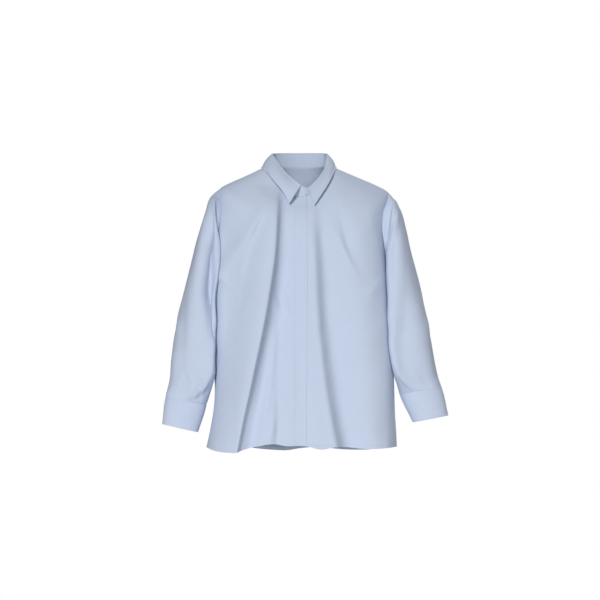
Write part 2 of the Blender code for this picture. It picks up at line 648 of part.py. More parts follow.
def build_button(name, side, rings, finish):
    """A button on the cuff's overlap, with its back to the cloth."""
    outer, out, turn = cuff_grids(side, rings)
    column = len(turn) - 2
    row = CUFF_ROWS // 2
    axis = Vector(out[row, column])
    seat = Vector(outer[row, column]) + axis * BUTTON_SEAT
    profile = (
        (BUTTON_RADIUS - BUTTON_ROUND, 0.0),
        (BUTTON_RADIUS, BUTTON_ROUND),
        (BUTTON_RADIUS, BUTTON_THICKNESS - BUTTON_ROUND),
        (BUTTON_RADIUS - BUTTON_ROUND, BUTTON_THICKNESS),
        (BUTTON_RADIUS - BUTTON_RIM, BUTTON_THICKNESS),
        (BUTTON_RADIUS - BUTTON_RIM - BUTTON_ROUND, BUTTON_THICKNESS - BUTTON_ROUND),
    )
    points = []
    faces = []
    for radius, height in profile:
        for side_number in range(BUTTON_SIDES):
            angle = 2.0 * math.pi * side_number / BUTTON_SIDES
            points.append((radius * math.cos(angle), radius * math.sin(angle), height))
    for ring in range(len(profile) - 1):
        for side_number in range(BUTTON_SIDES):
            a = ring * BUTTON_SIDES + side_number
            b = ring * BUTTON_SIDES + (side_number + 1) % BUTTON_SIDES
            faces.append((a, b, b + BUTTON_SIDES, a + BUTTON_SIDES))
    last = (len(profile) - 1) * BUTTON_SIDES
    faces.append(tuple(reversed(range(BUTTON_SIDES))))
    faces.append(tuple(range(last, last + BUTTON_SIDES)))
    made = add_object(name, points, faces, finish)
    made.matrix_world = Matrix.Translation(seat * MM) @ axis.to_track_quat("Z", "Y").to_matrix().to_4x4()
    return made


# ---------------------------------------------------------------- collar

def stations(column):
    """The collar table's places on the fold or on the edge."""
    return np.array([[getattr(row, column + axis) for axis in "xyz"] for row in COLLAR], dtype=float)


def fold_line(about):
    """Places on the collar's fold at turns about the neck; it closes to a ring for the stand's front."""
    turns = field(COLLAR, "round")
    turns = np.concatenate((turns - 360.0, turns, turns + 360.0))
    return smooth(turns, np.tile(stations("fold_"), (3, 1)), about)


def neck_frame(about):
    """The neck seam, the fold, and the stand's upward and outward directions at turns about the neck."""
    seam = torso_surface(-about, 1.0)
    fold = fold_line(about)
    up = fold - seam
    up /= np.linalg.norm(up, axis=-1, keepdims=True)
    along = fold_line(about + 1.0) - fold_line(about - 1.0)
    out = np.cross(up, along)
    out /= np.linalg.norm(out, axis=-1, keepdims=True)
    # The wearer's left half runs under the right one towards the front middle, as the left front does.
    inset = (WALL + LAYER_GAP) * (1.0 - ease((seam[:, 0] - PLACKET_OUTER_X) / UNDERLAP_BLEND))
    inset = np.where(about > 270.0, inset, 0.0)[:, None]
    # Past the placket its base follows the left front's neckline, set in along the body's own normal.
    beyond = ease((seam[:, 0] - PLACKET_OUTER_X) / STAND_CORNER)[:, None]
    base = out * (1.0 - beyond) + torso_normals(-about, 1.0) * beyond
    base /= np.linalg.norm(base, axis=-1, keepdims=True)
    return seam - base * inset, fold - out * inset, up, out


def neck_turns():
    """Columns round the neck: those of the torso's pieces, the collar's two ends and the stand's corners.

    The stand takes them all and the collar the ones between its ends, so the pieces meet all along.
    """
    right_end = -float(turn_at_x(np.array(PLACKET_OUTER_X), np.array(1.0)))
    left_end = 360.0 - float(turn_at_x(np.array(PLACKET_INNER_X), np.array(1.0)))
    quarter = np.linspace(0.0, math.pi / 2, CORNER_COLUMNS + 1)
    corner = np.degrees(STAND_CORNER / TORSO[-1].front) * (1.0 - np.cos(quarter))
    wanted = list(right_end + corner) + list(left_end - corner) + [COLLAR[0].round, COLLAR[-1].round]
    top = np.array([1.0])
    right = right_front_turns(top)[0]
    back = back_turns(top)[0] - 360.0
    left = left_front_turns(top)[0] - 360.0
    for turn in -np.concatenate((right, back, left)):
        if min(abs(turn - other) for other in wanted) > COLUMN_APART:
            wanted.append(turn)
    return np.array(sorted(wanted))


def build_stand(finish):
    about = neck_turns()
    seam, fold, up, out = neck_frame(about)
    top = fold - up * STAND_FOLD_DROP
    height = np.linalg.norm(top - seam, axis=-1)
    from_end = np.radians(np.minimum(about - about[0], about[-1] - about)) * TORSO[-1].front
    inside = 1.0 - np.clip(from_end / STAND_CORNER, 0.0, 1.0)
    share = 1.0 - STAND_CORNER / height * (1.0 - np.sqrt(1.0 - inside ** 2))
    rows = np.linspace(0.0, 1.0, STAND_ROWS + 1)
    outer = seam + (top - seam) * share[:, None] * rows[:, None, None]
    outer = pull_in(outer, SEAM_GAP, first_row=True)
    out = np.broadcast_to(out, outer.shape)
    add_wall("collar_stand", outer, outer - out * WALL, finish)


def build_collar(finish):
    """The turned-down collar: up from the stand, over its fold and down to its free edge."""
    about = neck_turns()
    about = about[(about >= COLLAR[0].round) & (about <= COLLAR[-1].round)]
    _, fold, up, out = neck_frame(about)
    edge = smooth(field(COLLAR, "round"), stations("edge_"), about)
    inner = fold - out * WALL
    rows = [inner - up * (STAND_FOLD_DROP - LAYER_GAP)]
    rolled = []
    for angle in np.linspace(0.0, math.pi, ROLL_STEPS + 1):
        outward = COLLAR_ROLL * (1.0 - math.cos(angle))
        downward = COLLAR_ROLL * (1.0 - math.sin(angle))
        rolled.append(inner + out * outward - up * downward)
    rows.extend(rolled)
    start = rolled[-1]
    along = np.gradient(fold, axis=0)
    bow = np.cross(start - edge, along)
    bow /= np.linalg.norm(bow, axis=-1, keepdims=True)
    for share in np.linspace(0.0, 1.0, FALL_ROWS + 1)[1:]:
        rows.append(start + (edge - start) * share + bow * COLLAR_BULGE * math.sin(math.pi * share))
    outer = np.array(rows)
    fall = len(rows) - FALL_ROWS
    outer[fall:] = lift_off(outer[fall:], torso_tree(), WALL + COLLAR_LIFT)
    normal = np.cross(np.gradient(outer, axis=1), np.gradient(outer, axis=0))
    normal /= np.linalg.norm(normal, axis=-1, keepdims=True)
    add_wall("collar_fall", outer, outer - normal * WALL, finish)


# ---------------------------------------------------------------- the shirt

def clear_scene():
    for old in list(bpy.data.objects):
        bpy.data.objects.remove(old, do_unlink=True)


def build_shirt():
    clear_scene()
    cloth = material("broadcloth", SHIRT_BLUE, 0.85)
    plastic = material("button", BUTTON_BLUE, 0.35)
    build_torso(cloth)
    arms = (
        (-1, "right", RIGHT_SLEEVE, RIGHT_CREASES, RIGHT_CUFF),
        (1, "left", LEFT_SLEEVE, LEFT_CREASES, LEFT_CUFF),
    )
    for side, name, sleeve, creases, cuff in arms:
        build_sleeve("sleeve_" + name, side, sleeve, creases, cloth)
        build_cuff("cuff_" + name, side, cuff, cloth)
        build_button("cuff_button_" + name, side, cuff, plastic)
    build_stand(cloth)
    build_collar(cloth)


build_shirt()
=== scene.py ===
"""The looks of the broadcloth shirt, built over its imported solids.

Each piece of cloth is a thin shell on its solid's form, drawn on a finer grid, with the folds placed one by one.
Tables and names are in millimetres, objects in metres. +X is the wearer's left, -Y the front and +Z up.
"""

import math
from collections import namedtuple
from itertools import product

import bmesh
import bpy
import numpy as np
from mathutils import Matrix, Vector
from mathutils.bvhtree import BVHTree


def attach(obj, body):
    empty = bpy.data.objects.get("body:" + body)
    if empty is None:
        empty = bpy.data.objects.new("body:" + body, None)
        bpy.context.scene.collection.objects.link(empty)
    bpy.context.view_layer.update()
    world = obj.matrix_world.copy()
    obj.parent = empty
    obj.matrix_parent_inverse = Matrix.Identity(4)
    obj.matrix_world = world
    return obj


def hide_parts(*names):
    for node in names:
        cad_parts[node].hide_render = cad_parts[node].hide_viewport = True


MM = 0.001

# ---- sizes

CLOTH = 0.5  # one layer of broadcloth
DOUBLE = 1.0  # collar, cuffs, placket and hem: cloth turned over an interlining
SEAM_GAP = 0.06  # left between two pieces at a seam
SEAM_PULL = 0.22  # a panel's side edges stop this far short of the seam
NECK_PULL = 0.12  # its neck edge this far
STAND_PULL = 0.15  # and the stand's lower edge this far
PULL_SHARE = 0.6  # but by no more than this share of the way to the next row
RIM_BULGE = 0.4  # how far an edge rounds out, as a share of its thickness
WALL = 1.5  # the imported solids' wall, which sets where the collar's fold lies
CUFF_LIFT = 1.6  # a cuff's last stretch lies this far over its first
UNDERLAP_DEPTH = 1.25  # and the left front this far under the placket
UNDERLAP_BLEND = 60.0  # the left front comes back to the outer surface over this width
PLACKET_INNER_X, PLACKET_OUTER_X = -13.0, 15.0
PLACKET_SEAM = 0.12  # how much of a seam's dip the placket's stitched side shows
HEM_DEPTH = 8.0  # depth of the turned-up hem
HEM_STITCHES = 6.8  # and of its line of stitches
HEM_STEP = 0.9  # the hem's double cloth ends over this height
STITCH_INSET = 1.6  # the placket's stitches run this far from its edge
PLACKET_TOP = 0.998  # up to this level
EDGE_STITCH = 5.0  # and others this far from the collar's and the cuffs' free edges
STITCH_PITCH, STITCH_LENGTH = 2.2, 1.7
STITCH_RADIUS, STITCH_ARCH = 0.17, 0.14
BAR_RADIUS, BAR_ARCH = 0.34, 0.35  # the threads that hold a button
CUFF_SUNK, PLACKET_SUNK, HEM_SUNK = 0.02, 0.1, 0.25  # stitches lie this deep in the cloth
# How deep a line of stitches draws the cloth in, and how far to its sides.
HEM_DRAW, COLLAR_DRAW, CUFF_DRAW = (0.35, 1.1), (0.25, 1.1), (0.22, 1.2)

STAND_FOLD_DROP, STAND_HEIGHT, STAND_CORNER = 3.0, 36.0, 10.0
COLLAR_ROLL, COLLAR_LIFT, COLLAR_BULGE = 2.4, 1.8, 3.5
COLLAR_STRETCH = 1.1  # millimetres of collar for each degree about the neck
CUFF_OVERLAP = 26.0  # degrees of the cuff's ring where its ends lie on each other
CUFF_OPENING = 285.0
CUFF_TUCK, TUCK_REACH = 0.5, 2.4  # the sleeve's end goes this far under its own surface, over this length
CUFF_PROUD = 0.15  # and the cuff stands this far proud
CUFF_BOW, CUFF_SKEW = 0.9, 0.4  # it swells in its middle, and more on one side of it
CUFF_WAVE, CUFF_TURN = 0.5, 40.0  # and its ring is uneven
SLEEVE_CLEAR, CLEAR_START = 2.5, 0.10  # room between sleeve and body, from this share of the sleeve on
SLEEVE_SQUARE, SQUARE_END = 0.25, 0.7  # a sleeve's corners fill out, and less beyond this share
SLEEVE_RADIUS = 60.0  # for laying waves round a sleeve
LEAN_POWER = 4  # the higher, the less of a sleeve's front leans over the body
SLEEVE_LENGTH = 520.0  # for placing creases along a sleeve

BUTTON_RADIUS, BUTTON_THICKNESS, BUTTON_SIDES = 5.0, 2.2, 48
BUTTON_SEAT, BUTTON_DISH = 0.35, 0.45  # its back above the cloth, and its thread below its rim
HOLE_RADIUS, HOLE_SIDES = 0.7, 16
HOLE_PITCH = 1.2  # half the distance between two holes
BUTTON_COLUMN_SHARE = 0.035  # its place from the end of the cuff, as a share of the cuff's columns
# Radius and height at each step of the button's section, as shares of its radius and thickness.
BUTTON_PROFILE = (
    (0.80, 0.00), (0.92, 0.05), (0.985, 0.22), (1.00, 0.45), (0.99, 0.68), (0.955, 0.86), (0.89, 0.97),
    (0.83, 1.00), (0.77, 0.98), (0.71, 0.90), (0.64, 0.80), (0.56, 0.76), (0.30, 0.75),
)

EDGE_STEPS = (0.0, 0.35, 1.0)  # extra rows this far from a turned edge
UNDER_STEPS = (0.0, 1.0, 3.0)  # and from the placket's free edge, on the left front under it
STITCH_STEPS = (3.6, 4.4, 5.0, 5.6, 6.4)  # and beside the line of stitches round the collar
STITCH_SIDES = 5
STITCH_PROFILE = ((0.0, 0.45), (0.22, 1.0), (0.5, 1.05), (0.78, 1.0), (1.0, 0.45))

# A seam's edge turns in: at these distances from it the cloth lies this far under its own surface.
SEAM_STEPS = (0.0, 0.35, 0.9, 2.0, 3.6)
SEAM_DIPS = (2.2, 0.9, 0.35, 0.08, 0.0)

# ---- tables


def table(text):
    """Rows of text with named columns: the first line names them."""
    head, *lines = text.strip().splitlines()
    row = namedtuple("row", head.split())
    return [row(*(float(part) if part[-1].isdigit() else part for part in line.split())) for line in lines]


# The torso's rings, from the hem to the neck. A ring rises from front and back to its sides, square is how
# much it fills out at its corners, and chest the share of its width that it keeps away from its sides.
TORSO = table("""
level front_z right_z left_z back_z right left front back square chest
0 -678 -680 -678 -686 222 236 124 122 0.14 1
0.12 -590 -590 -590 -594 208 230 122 118 0.14 1
0.28 -490 -490 -490 -492 209 226 119 112 0.14 1
0.45 -370 -370 -370 -371 212 218 117 109 0.14 1
0.64 -240 -236 -236 -240 212 208 116 113 0.14 1
0.74 -188 -152 -155 -165 208 206 113 116 0.135 0.99
0.82 -153 -92 -98 -118 201 211 107 112 0.125 0.93
0.88 -126 -45 -54 -80 195 215 99 102 0.11 0.82
0.91 -112 -31 -38 -60 170 187 93 94 0.1 0.84
0.94 -98 -17 -22 -40 138 150 85 84 0.09 0.9
0.97 -83 -2 -5 -16 106 110 74 73 0.05 0.96
1 -66 12 10 8 77 76 62 62 0 1
""")

# The armhole is an oval on the torso's surface, from the underarm to the shoulder tip.
UNDERARM_LEVEL = 0.64
SHOULDER_LEVEL = 0.88
ARMHOLE_MIDDLE = (UNDERARM_LEVEL + SHOULDER_LEVEL) / 2
ARMHOLE_HALF = (SHOULDER_LEVEL - UNDERARM_LEVEL) / 2
ARMHOLE_REACH_FRONT = 27.0  # degrees round the torso, from its side
ARMHOLE_REACH_BACK = 29.0
ARMHOLE_MARGIN = 2.0  # degrees inside its edge from which the torso's surface is open

# A fold runs down the cloth at x680, x500... and rises by r680, r500... at the heights of FOLD_Z; below 0 it
# is a trough. It fades over right_reach towards the wearer's right and left_reach towards the left.
FOLD_Z = (-680.0, -500.0, -340.0, -200.0, -90.0, -40.0)
FRONT_FOLDS = table("""
name x680 x500 x340 x200 x90 x40 r680 r500 r340 r200 r90 r40 right_reach left_reach
great_ridge -168 -127 -94 -71 -63 -60 23 23 22 18 12 0 48 14
great_slope -168 -127 -94 -71 -63 -60 10 10 10 8 4 0 50 44
great_trough -118 -79 -50 -34 -35 -36 -13 -14 -14 -12 -7 0 26 24
narrow_ridge -98 -70 -50 -40 -40 -45 5 6 1 0 0 0 12 10
placket_trough -52 -47 -44 -42 -40 -40 -8 -6 -2 0 0 0 12 16
side_trough -205 -182 -168 -160 -150 -150 -2 -8 -11 -5 0 0 22 26
left_crest 80 50 36 33 29 30 15 14 12 11 5 0 26 20
left_trough 126 97 77 65 54 50 -16 -16 -15 -12 -5 0 30 38
left_panel 205 202 196 186 160 150 8 9 9 7 3 0 80 24
""")
BACK_FOLDS = table("""
name x680 x500 x340 x200 x90 x40 r680 r500 r340 r200 r90 r40 right_reach left_reach
outer_right -165 -152 -140 -128 -120 -118 9 7 4 1 0 0 26 13
right_trough -130 -122 -114 -104 -98 -96 -9 -8 -5 -1 0 0 14 24
inner_right -70 -70 -72 -72 -70 -70 13 11 7 3 1 0 30 12
middle_trough -34 -38 -42 -44 -44 -44 -10 -8 -6 -2 0 0 13 28
middle_ridge 4 0 -4 -8 -10 -10 3 4 2 0 0 0 16 18
inner_left 46 42 38 32 28 28 12 9 6 3 1 0 28 13
left_trough 84 78 70 62 58 56 -9 -7 -5 -1 0 0 13 24
outer_left 150 138 126 114 104 102 10 8 5 2 0 0 24 14
side_left 186 178 168 160 150 150 -6 -5 -2 0 0 0 12 16
""")
SIDE_FADE = 0.30  # folds fade to nothing at the side seams, from this cosine of the turn
FOLD_WIDTH = 200.0  # folds rise square to an oval of this half width and half depth
FOLD_DEPTH = 118.0
FOLD_LEAN = 0.34  # but the front's folds lean to the wearer's left, by this share of their rise,
LEAN_X, LEAN_FADE = 165.0, 50.0  # out to this x, and less over the distance beyond it

# A crease runs through three places, seen from the front, and rises there by r0, r1 and r2. right and left
# are its reaches to the right and the left of its own way down.
FRONT_CREASES = table("""
name x0 z0 x1 z1 x2 z2 r0 r1 r2 right left
drag_ridge -86 -84 -140 -176 -196 -262 1 7 5 16 9
bust_crease -82 -100 -112 -176 -143 -300 -1 -7 -3 9 24
arm_hollow -166 -86 -178 -160 -188 -228 -1 -7 -3 18 20
junction_trough -52 -300 -32 -345 -20 -395 -1 -3 -1 9 12
junction_ridge -64 -322 -42 -352 -18 -380 0.3 2 0.3 11 10
shoulder_ridge 58 -84 92 -176 142 -268 1 4.5 1 24 11
shoulder_trough 94 -96 112 -165 134 -240 -1 -5 -1 9 20
yoke_pull_right -120 -30 -98 -62 -84 -100 0.3 1.6 0.4 14 14
yoke_pull_left 122 -34 104 -66 88 -108 0.3 1.6 0.4 14 14
side_pull -205 -262 -180 -276 -152 -300 0.5 1.8 0.3 8 11
side_pull_left 204 -258 182 -282 160 -318 0.5 2.2 0.3 8 12
placket_bow -20 -440 -17 -520 -20 -600 0.2 1.2 0.4 8 8
hem_pucker -80 -668 -66 -640 -60 -590 1.5 1.5 0.2 9 9
hem_pucker_left 30 -668 34 -636 38 -590 -1.5 -1.2 0 10 9
""")
BACK_CREASES = table("""
name x0 z0 x1 z1 x2 z2 r0 r1 r2 right left
blade_pull_right -150 -60 -118 -120 -98 -200 0.5 2.6 0.6 18 13
blade_pull_left 152 -64 124 -128 108 -214 0.5 2.6 0.6 13 18
neck_fall -36 -30 -30 -90 -34 -170 0.3 1.6 0.4 16 16
arm_drag_right -196 -246 -150 -214 -96 -196 0.6 2.6 0.4 10 14
arm_drag_left 194 -240 156 -222 104 -212 0.6 2.2 0.4 14 10
waist_wave -120 -330 -86 -372 -64 -440 0.4 2.2 0.6 14 12
waist_wave_left 112 -352 90 -396 82 -470 0.4 2 0.6 12 14
inside_crease 30 -2 35 -12 39 -22 -0.6 -1 -0.6 2.2 2.2
""")

# How far the hem hangs below (-) or above (+) its ring, across the front and across the back.
HEM = table("""
x front back
-220 2 2
-190 -8 -3
-165 -10 1
-135 -3 3
-110 3 0
-50 9 -4
-38 6 -4
0 6 1
20 4 3
50 -3 3
75 2 1
110 3 -3
160 -2 -5
234 2 2
""")
HEM_REACH = 0.14  # share of the torso's rings over which the hem's waves die out

# A sleeve's rings, from the armhole to the wrist: the places of its underarm and outer sides, how far forward
# its middle lies, its half depth, and how far its front leans in over the body's side.
RIGHT_SLEEVE = table("""
along under_x under_z outer_x outer_z forward half_depth lean
0.04 214 -243 219 -65 0 62 16
0.1 214 -250 234 -103 1 68 29
0.18 215 -261 250 -157 4 72 36
0.28 216 -282 265 -215 10 73 38
0.4 217 -318 284 -287 18 70 36
0.57 216 -385 303 -372 25 63 43
0.74 214 -455 316 -456 29 55 46
0.88 213 -515 321 -512 31 47 36
1 229 -575 329 -557 29 33 0
""")
LEFT_SLEEVE = table("""
along under_x under_z outer_x outer_z forward half_depth lean
0.04 210 -243 229 -70 0 62 6
0.1 211 -250 247 -98 1 68 14
0.18 213 -261 262 -146 4 72 20
0.28 215 -282 275 -205 10 73 25
0.4 219 -318 293 -280 18 70 33
0.57 223 -385 314 -368 25 63 42
0.74 228 -447 327 -438 29 55 46
0.88 234 -503 339 -500 30 46 36
1 243 -549 346 -532 28 32 0
""")
RIGHT_CUFF = table("""
along under_x under_z outer_x outer_z forward half_depth lean
0 229 -575 329 -557 29 33 0
1 249 -641 337 -621 33 30 0
""")
LEFT_CUFF = table("""
along under_x under_z outer_x outer_z forward half_depth lean
0 243 -549 346 -532 28 32 0
1 275 -617 362 -600 32 30 0
""")

# Creases on a sleeve laid flat: x is the turn in degrees (0 outermost, 90 front, 180 underarm, 270 back), about
# a millimetre each, and z the way down from the armhole.
RIGHT_CREASES = table("""
name x0 z0 x1 z1 x2 z2 r0 r1 r2 right left
deep_valley 26 -14 66 -120 110 -320 -9 -22 -12 15 10
cap_dart 50 -10 66 -13 84 -16 -3 -5 -1 5 4
valley_lip 16 -40 34 -120 52 -210 1 4 2 18 10
flank_ridge 92 -330 98 -420 100 -500 1 5 3 16 10
flank_trough 118 -320 126 -410 122 -500 -3 -9 -3 10 16
long_ridge 46 -150 73 -296 90 -455 1 3 2 14 10
outer_trough 26 -210 36 -320 42 -430 -1 -6 -4 17 12
pleat_left_leg 50 -440 58 -470 66 -509 -1 -3.5 -2 7 5
pleat_crest 60 -446 76 -478 86 -509 0.6 2.5 1.5 6 7
pleat_right_leg 64 -446 90 -474 112 -502 -1 -3.5 -1 6 6
pleat_flap 98 -466 120 -492 138 -512 0.5 2.5 1 8 7
elbow_wave -20 -250 6 -300 30 -330 0.5 2 0.5 12 14
inner_ridge 118 -100 132 -260 140 -430 0.5 2 1 14 14
back_valley 300 -60 286 -230 268 -430 -1 -8 -4 13 18
back_ridge 330 -80 318 -240 300 -440 1 4.5 2 16 13
back_elbow 250 -230 280 -262 312 -270 1 3.5 0.5 11 13
back_elbow_low 246 -290 274 -318 300 -322 -0.5 -3 -0.5 10 12
back_pleat 262 -430 258 -470 252 -510 -0.5 -3 -3 7 8
back_pleat_lip 276 -425 274 -468 270 -510 0.5 2.5 2 8 8
under_wave 200 -150 206 -260 214 -390 -0.5 -3 -1 16 16
""")
LEFT_CREASES = table("""
name x0 z0 x1 z1 x2 z2 r0 r1 r2 right left
armhole_valley 22 -20 52 -14 96 -18 -6 -9 -4 7 7
valley_lip 34 -40 58 -60 88 -80 1 4 1 14 9
long_trough 40 -110 62 -290 80 -490 -0.5 -6 -3 20 11
bright_ridge 64 -90 82 -250 94 -430 1 4 2 9 16
outer_ridge 4 -150 16 -300 38 -450 0.5 3 1.5 16 16
outer_flank 352 -250 360 -370 372 -480 -0.5 -2.5 -1 14 12
pleat 52 -450 56 -480 60 -512 -0.5 -2.5 -2 7 7
pleat_lip 98 -440 104 -474 108 -512 0.5 2.5 1 8 7
back_valley 292 -60 280 -240 262 -440 -1 -7 -4 14 18
back_ridge 322 -80 310 -250 292 -450 1 4.5 2 16 13
back_elbow 244 -240 274 -276 306 -290 1 3.5 0.5 11 13
back_elbow_low 240 -305 268 -332 296 -338 -0.5 -3 -0.5 10 12
back_pleat 258 -430 254 -470 248 -510 -0.5 -3 -3 7 8
back_pleat_lip 272 -425 270 -468 266 -510 0.5 2.5 2 8 8
under_wave 204 -150 212 -270 220 -400 -0.5 -3 -1 16 16
""")
CREASE_START = 0.018  # creases grow in over this share of the sleeve below the armhole
CREASE_END = 0.03  # and die out over this share above the cuff

# The collar, from its right end round the back to its left end: the turn about the neck from the front middle
# over the right, a place on the collar's fold, and the place below it on the free edge.
COLLAR = table("""
name round fold_x fold_y fold_z edge_x edge_y edge_z
right_end 0 2 -68 -37 -26 -86 -83
right_front 22 -17 -57 -23 -42 -80 -54
right_throat 45 -36 -41 -5 -61 -66 -31
right_neck 68 -53 -19 18 -79 -40 -9
right_shoulder 92 -65 8 37 -94 -2 3
right_nape 124 -60 38 42 -82 46 3
right_back 152 -34 54 43 -43 76 -1
back 180 0 59 43 0 84 -3
left_back 208 34 54 43 43 76 -1
left_nape 236 60 38 42 81 46 3
left_shoulder 268 64 8 34 88 -2 3
left_neck 292 59 -20 4 80 -42 -14
left_throat 313 47 -42 -16 67 -64 -38
left_front 330 34 -55 -31 51 -78 -63
left_end 345 20 -66 -43 35 -90 -88
""")

# Long waves: how much they rise, and radians a millimetre across, down and in their bend.
BODY_WAVES = table("""
rise across down start bend
0.55 0.055 0.021 0.4 0.011
0.4 -0.034 0.048 2.1 0.017
0.25 0.11 -0.037 4 0.023
""")
RIGHT_WAVES = table("""
rise across down start bend
0.55 0.06 0.035 1 0.013
0.35 -0.09 0.062 3.2 0.019
""")
LEFT_WAVES = table("""
rise across down start bend
0.55 0.064 -0.033 2.2 0.012
0.35 0.085 0.058 0.3 0.021
""")
WAVE_BEND = 1.3

# The cut of each piece, laid flat: its width, length and area in metres, and how it is held.
CUTS = table("""
piece width length area held
front_right 0.285 0.73 0.19 hung
front_left 0.31 0.73 0.204 hung
fly_placket 0.03 0.65 0.0193 hung
back 0.6 0.76 0.386 hung
sleeve_right 0.42 0.56 0.168 hung
sleeve_left 0.42 0.56 0.158 hung
cuff_right 0.262 0.072 0.0188 stretched
cuff_left 0.262 0.078 0.0202 stretched
collar_stand 0.43 0.036 0.0124 stretched
collar_fall 0.44 0.07 0.0244 folded
""")

# ---- grids

FRONT_COLUMNS = 140
BACK_COLUMNS = 150
PLACKET_COLUMNS = 12
BODY_ROWS = 110  # hem to underarm
ARMHOLE_ROWS = 56  # underarm to shoulder tip
SHOULDER_ROWS = 22  # shoulder tip to neck
SLEEVE_COLUMNS = 150
SLEEVE_ROWS = 150
CUFF_COLUMNS = 120
CUFF_ROWS = 20
NECK_COLUMNS = 200
STAND_ROWS = 10
CORNER_STEPS = 12
ROLL_STEPS = 8
FALL_ROWS = 18
HEM_STEPS = (0.0, 0.5, 1.5, 3.0, 5.0, 6.6, 7.4, 8.2, 9.4, 12.0)
LEVEL_PER_MM = 0.12 / 88  # rise of the level for each millimetre above the hem
TREE_TURNS = 120
TREE_LEVELS = 80
CURVE_STEPS = 24
TURN_STEP = 0.05
LEVEL_STEP = 0.0005
HEM_POINTS, PLACKET_POINTS = 400, 500  # along their lines of stitches
CLOTH_ANGLE, BUTTON_ANGLE = 60.0, 40.0  # edges sharper than this stay sharp

# ---- colours, light and camera

SHIRT_BLUE = (0.505, 0.575, 0.715, 1.0)
THREAD_BLUE = (0.530, 0.600, 0.740, 1.0)
BUTTON_BLUE = (0.640, 0.700, 0.820, 1.0)
THREAD_PITCH = 0.00032  # metres from one thread of the weave to the next
WEAVE_DEPTH = 0.00006
CRUMPLE_DEPTH = 0.0009
FUSED_SHARE = 0.35  # as much of the crumple shows where the cloth is stiffened

VIEW_DISTANCE = 12.0
VIEW_WIDTH = 1.470  # how much of the shirt's own plane the picture takes in
VIEW_HEIGHT = -0.3185
SENSOR = 36.0
FLOOR_RADIUS, FLOOR_SIDES, FLOOR_Z = 4.0, 96, -1.60
FLOOR_COLOUR = (0.86, 0.86, 0.86, 1.0)
FLOOR_GLOW = 0.14  # keeps the floor pale
WHITE = (1.0, 1.0, 1.0, 1.0)
ROOM_LIGHT = 0.12
# Suns: turn about the shirt (0 in front, below 0 from the left), rise, strength and softness.
LIGHTS = table("""
name turn rise strength spread
key -16 24 2.12 14
fill 6 3 0.6 14
back 152 32 1.3 14
""")


# ---- curves and surfaces

def field(rows, name):
    """One named column of a table."""
    return np.array([getattr(row, name) for row in rows])


def smooth(keys, values, at):
    """A smooth curve through the rows of a table; values may have further axes."""
    keys, values = np.asarray(keys, float), np.asarray(values, float)
    at = np.clip(at, keys[0], keys[-1])
    extra = (1,) * (values.ndim - 1)
    step = np.diff(keys).reshape((-1,) + extra)
    chord = np.diff(values, axis=0) / step
    before, after = step[:-1], step[1:]
    slope = np.concatenate((chord[:1], (chord[:-1] * after + chord[1:] * before) / (before + after), chord[-1:]))
    piece = np.clip(np.searchsorted(keys, at, side="right") - 1, 0, len(step) - 1)
    span = step[piece]
    part = (at - keys[piece]).reshape(span.shape) / span
    return (
        values[piece] * (1 + 2 * part) * (1 - part) ** 2
        + slope[piece] * span * part * (1 - part) ** 2
        + values[piece + 1] * part ** 2 * (3 - 2 * part)
        + slope[piece + 1] * span * part ** 2 * (part - 1)
    )


def curves(rows, key, names, at):
    """Smooth curves through named columns of a table, over its column key."""
    return [smooth(field(rows, key), field(rows, name), at) for name in names]


def ease(value):
    """0 up to 0, 1 from 1 on, and a smooth step between."""
    value = np.clip(value, 0.0, 1.0)
    return value * value * (3.0 - 2.0 * value)


def bell(distance, size):
    """A rise of size[0] that dies out over size[1] to both sides."""
    return size[0] * np.exp(-(distance / size[1]) ** 2)


def unit(vectors):
    return vectors / (np.linalg.norm(vectors, axis=-1, keepdims=True) + 1e-12)


def travel(grid, axis):
    """Distances along one axis of a grid of points, from its start."""
    far = np.cumsum(np.linalg.norm(np.diff(grid, axis=axis), axis=-1), axis=axis)
    return np.insert(far, 0, 0.0, axis=axis)


def fold_rise(folds, x, z):
    """How far a table of folds lifts the cloth, seen from the front."""
    rise = np.zeros_like(x)
    for fold in folds:
        away = x - smooth(FOLD_Z, fold[1:7], z)
        reach = np.where(away < 0, fold.right_reach, fold.left_reach)
        rise += smooth(FOLD_Z, fold[7:13], z) * np.exp(-(away / reach) ** 2)
    return rise


def crease_rise(creases, x, z):
    """How far a table of creases lifts the cloth."""
    rise = np.zeros_like(x)
    at = np.linspace(0.0, 2.0, CURVE_STEPS + 1)
    for crease in creases:
        path = smooth(range(3), np.reshape(crease[1:7], (3, 2)), at)
        height = smooth(range(3), crease[7:10], at)
        wide = 3.0 * max(crease.right, crease.left)
        (left, low), (right, high) = path.min(axis=0) - wide, path.max(axis=0) + wide
        near = (x > left) & (x < right) & (z > low) & (z < high)
        px, pz = x[near], z[near]
        best, value = np.full(px.shape, np.inf), np.zeros(px.shape)
        for start, run, first, more in zip(path, np.diff(path, axis=0), height, np.diff(height)):
            dx, dz = px - start[0], pz - start[1]
            share = np.clip((dx * run[0] + dz * run[1]) / (run @ run), 0.0, 1.0)
            dx, dz = dx - share * run[0], dz - share * run[1]
            far = np.hypot(dx, dz)
            reach = np.where(run[0] * dz - run[1] * dx > 0, crease.left, crease.right)
            here = (first + more * share) * np.exp(-(far / reach) ** 2)
            value = np.where(far < best, here, value)
            best = np.minimum(far, best)
        rise[near] += value
    return rise


def ripple(x, z, waves):
    """The slight unevenness of worn cloth: a few long waves across each other."""
    return sum(
        wave.rise * np.sin(x * wave.across + z * wave.down + wave.start + WAVE_BEND * np.sin(z * wave.bend))
        for wave in waves
    )


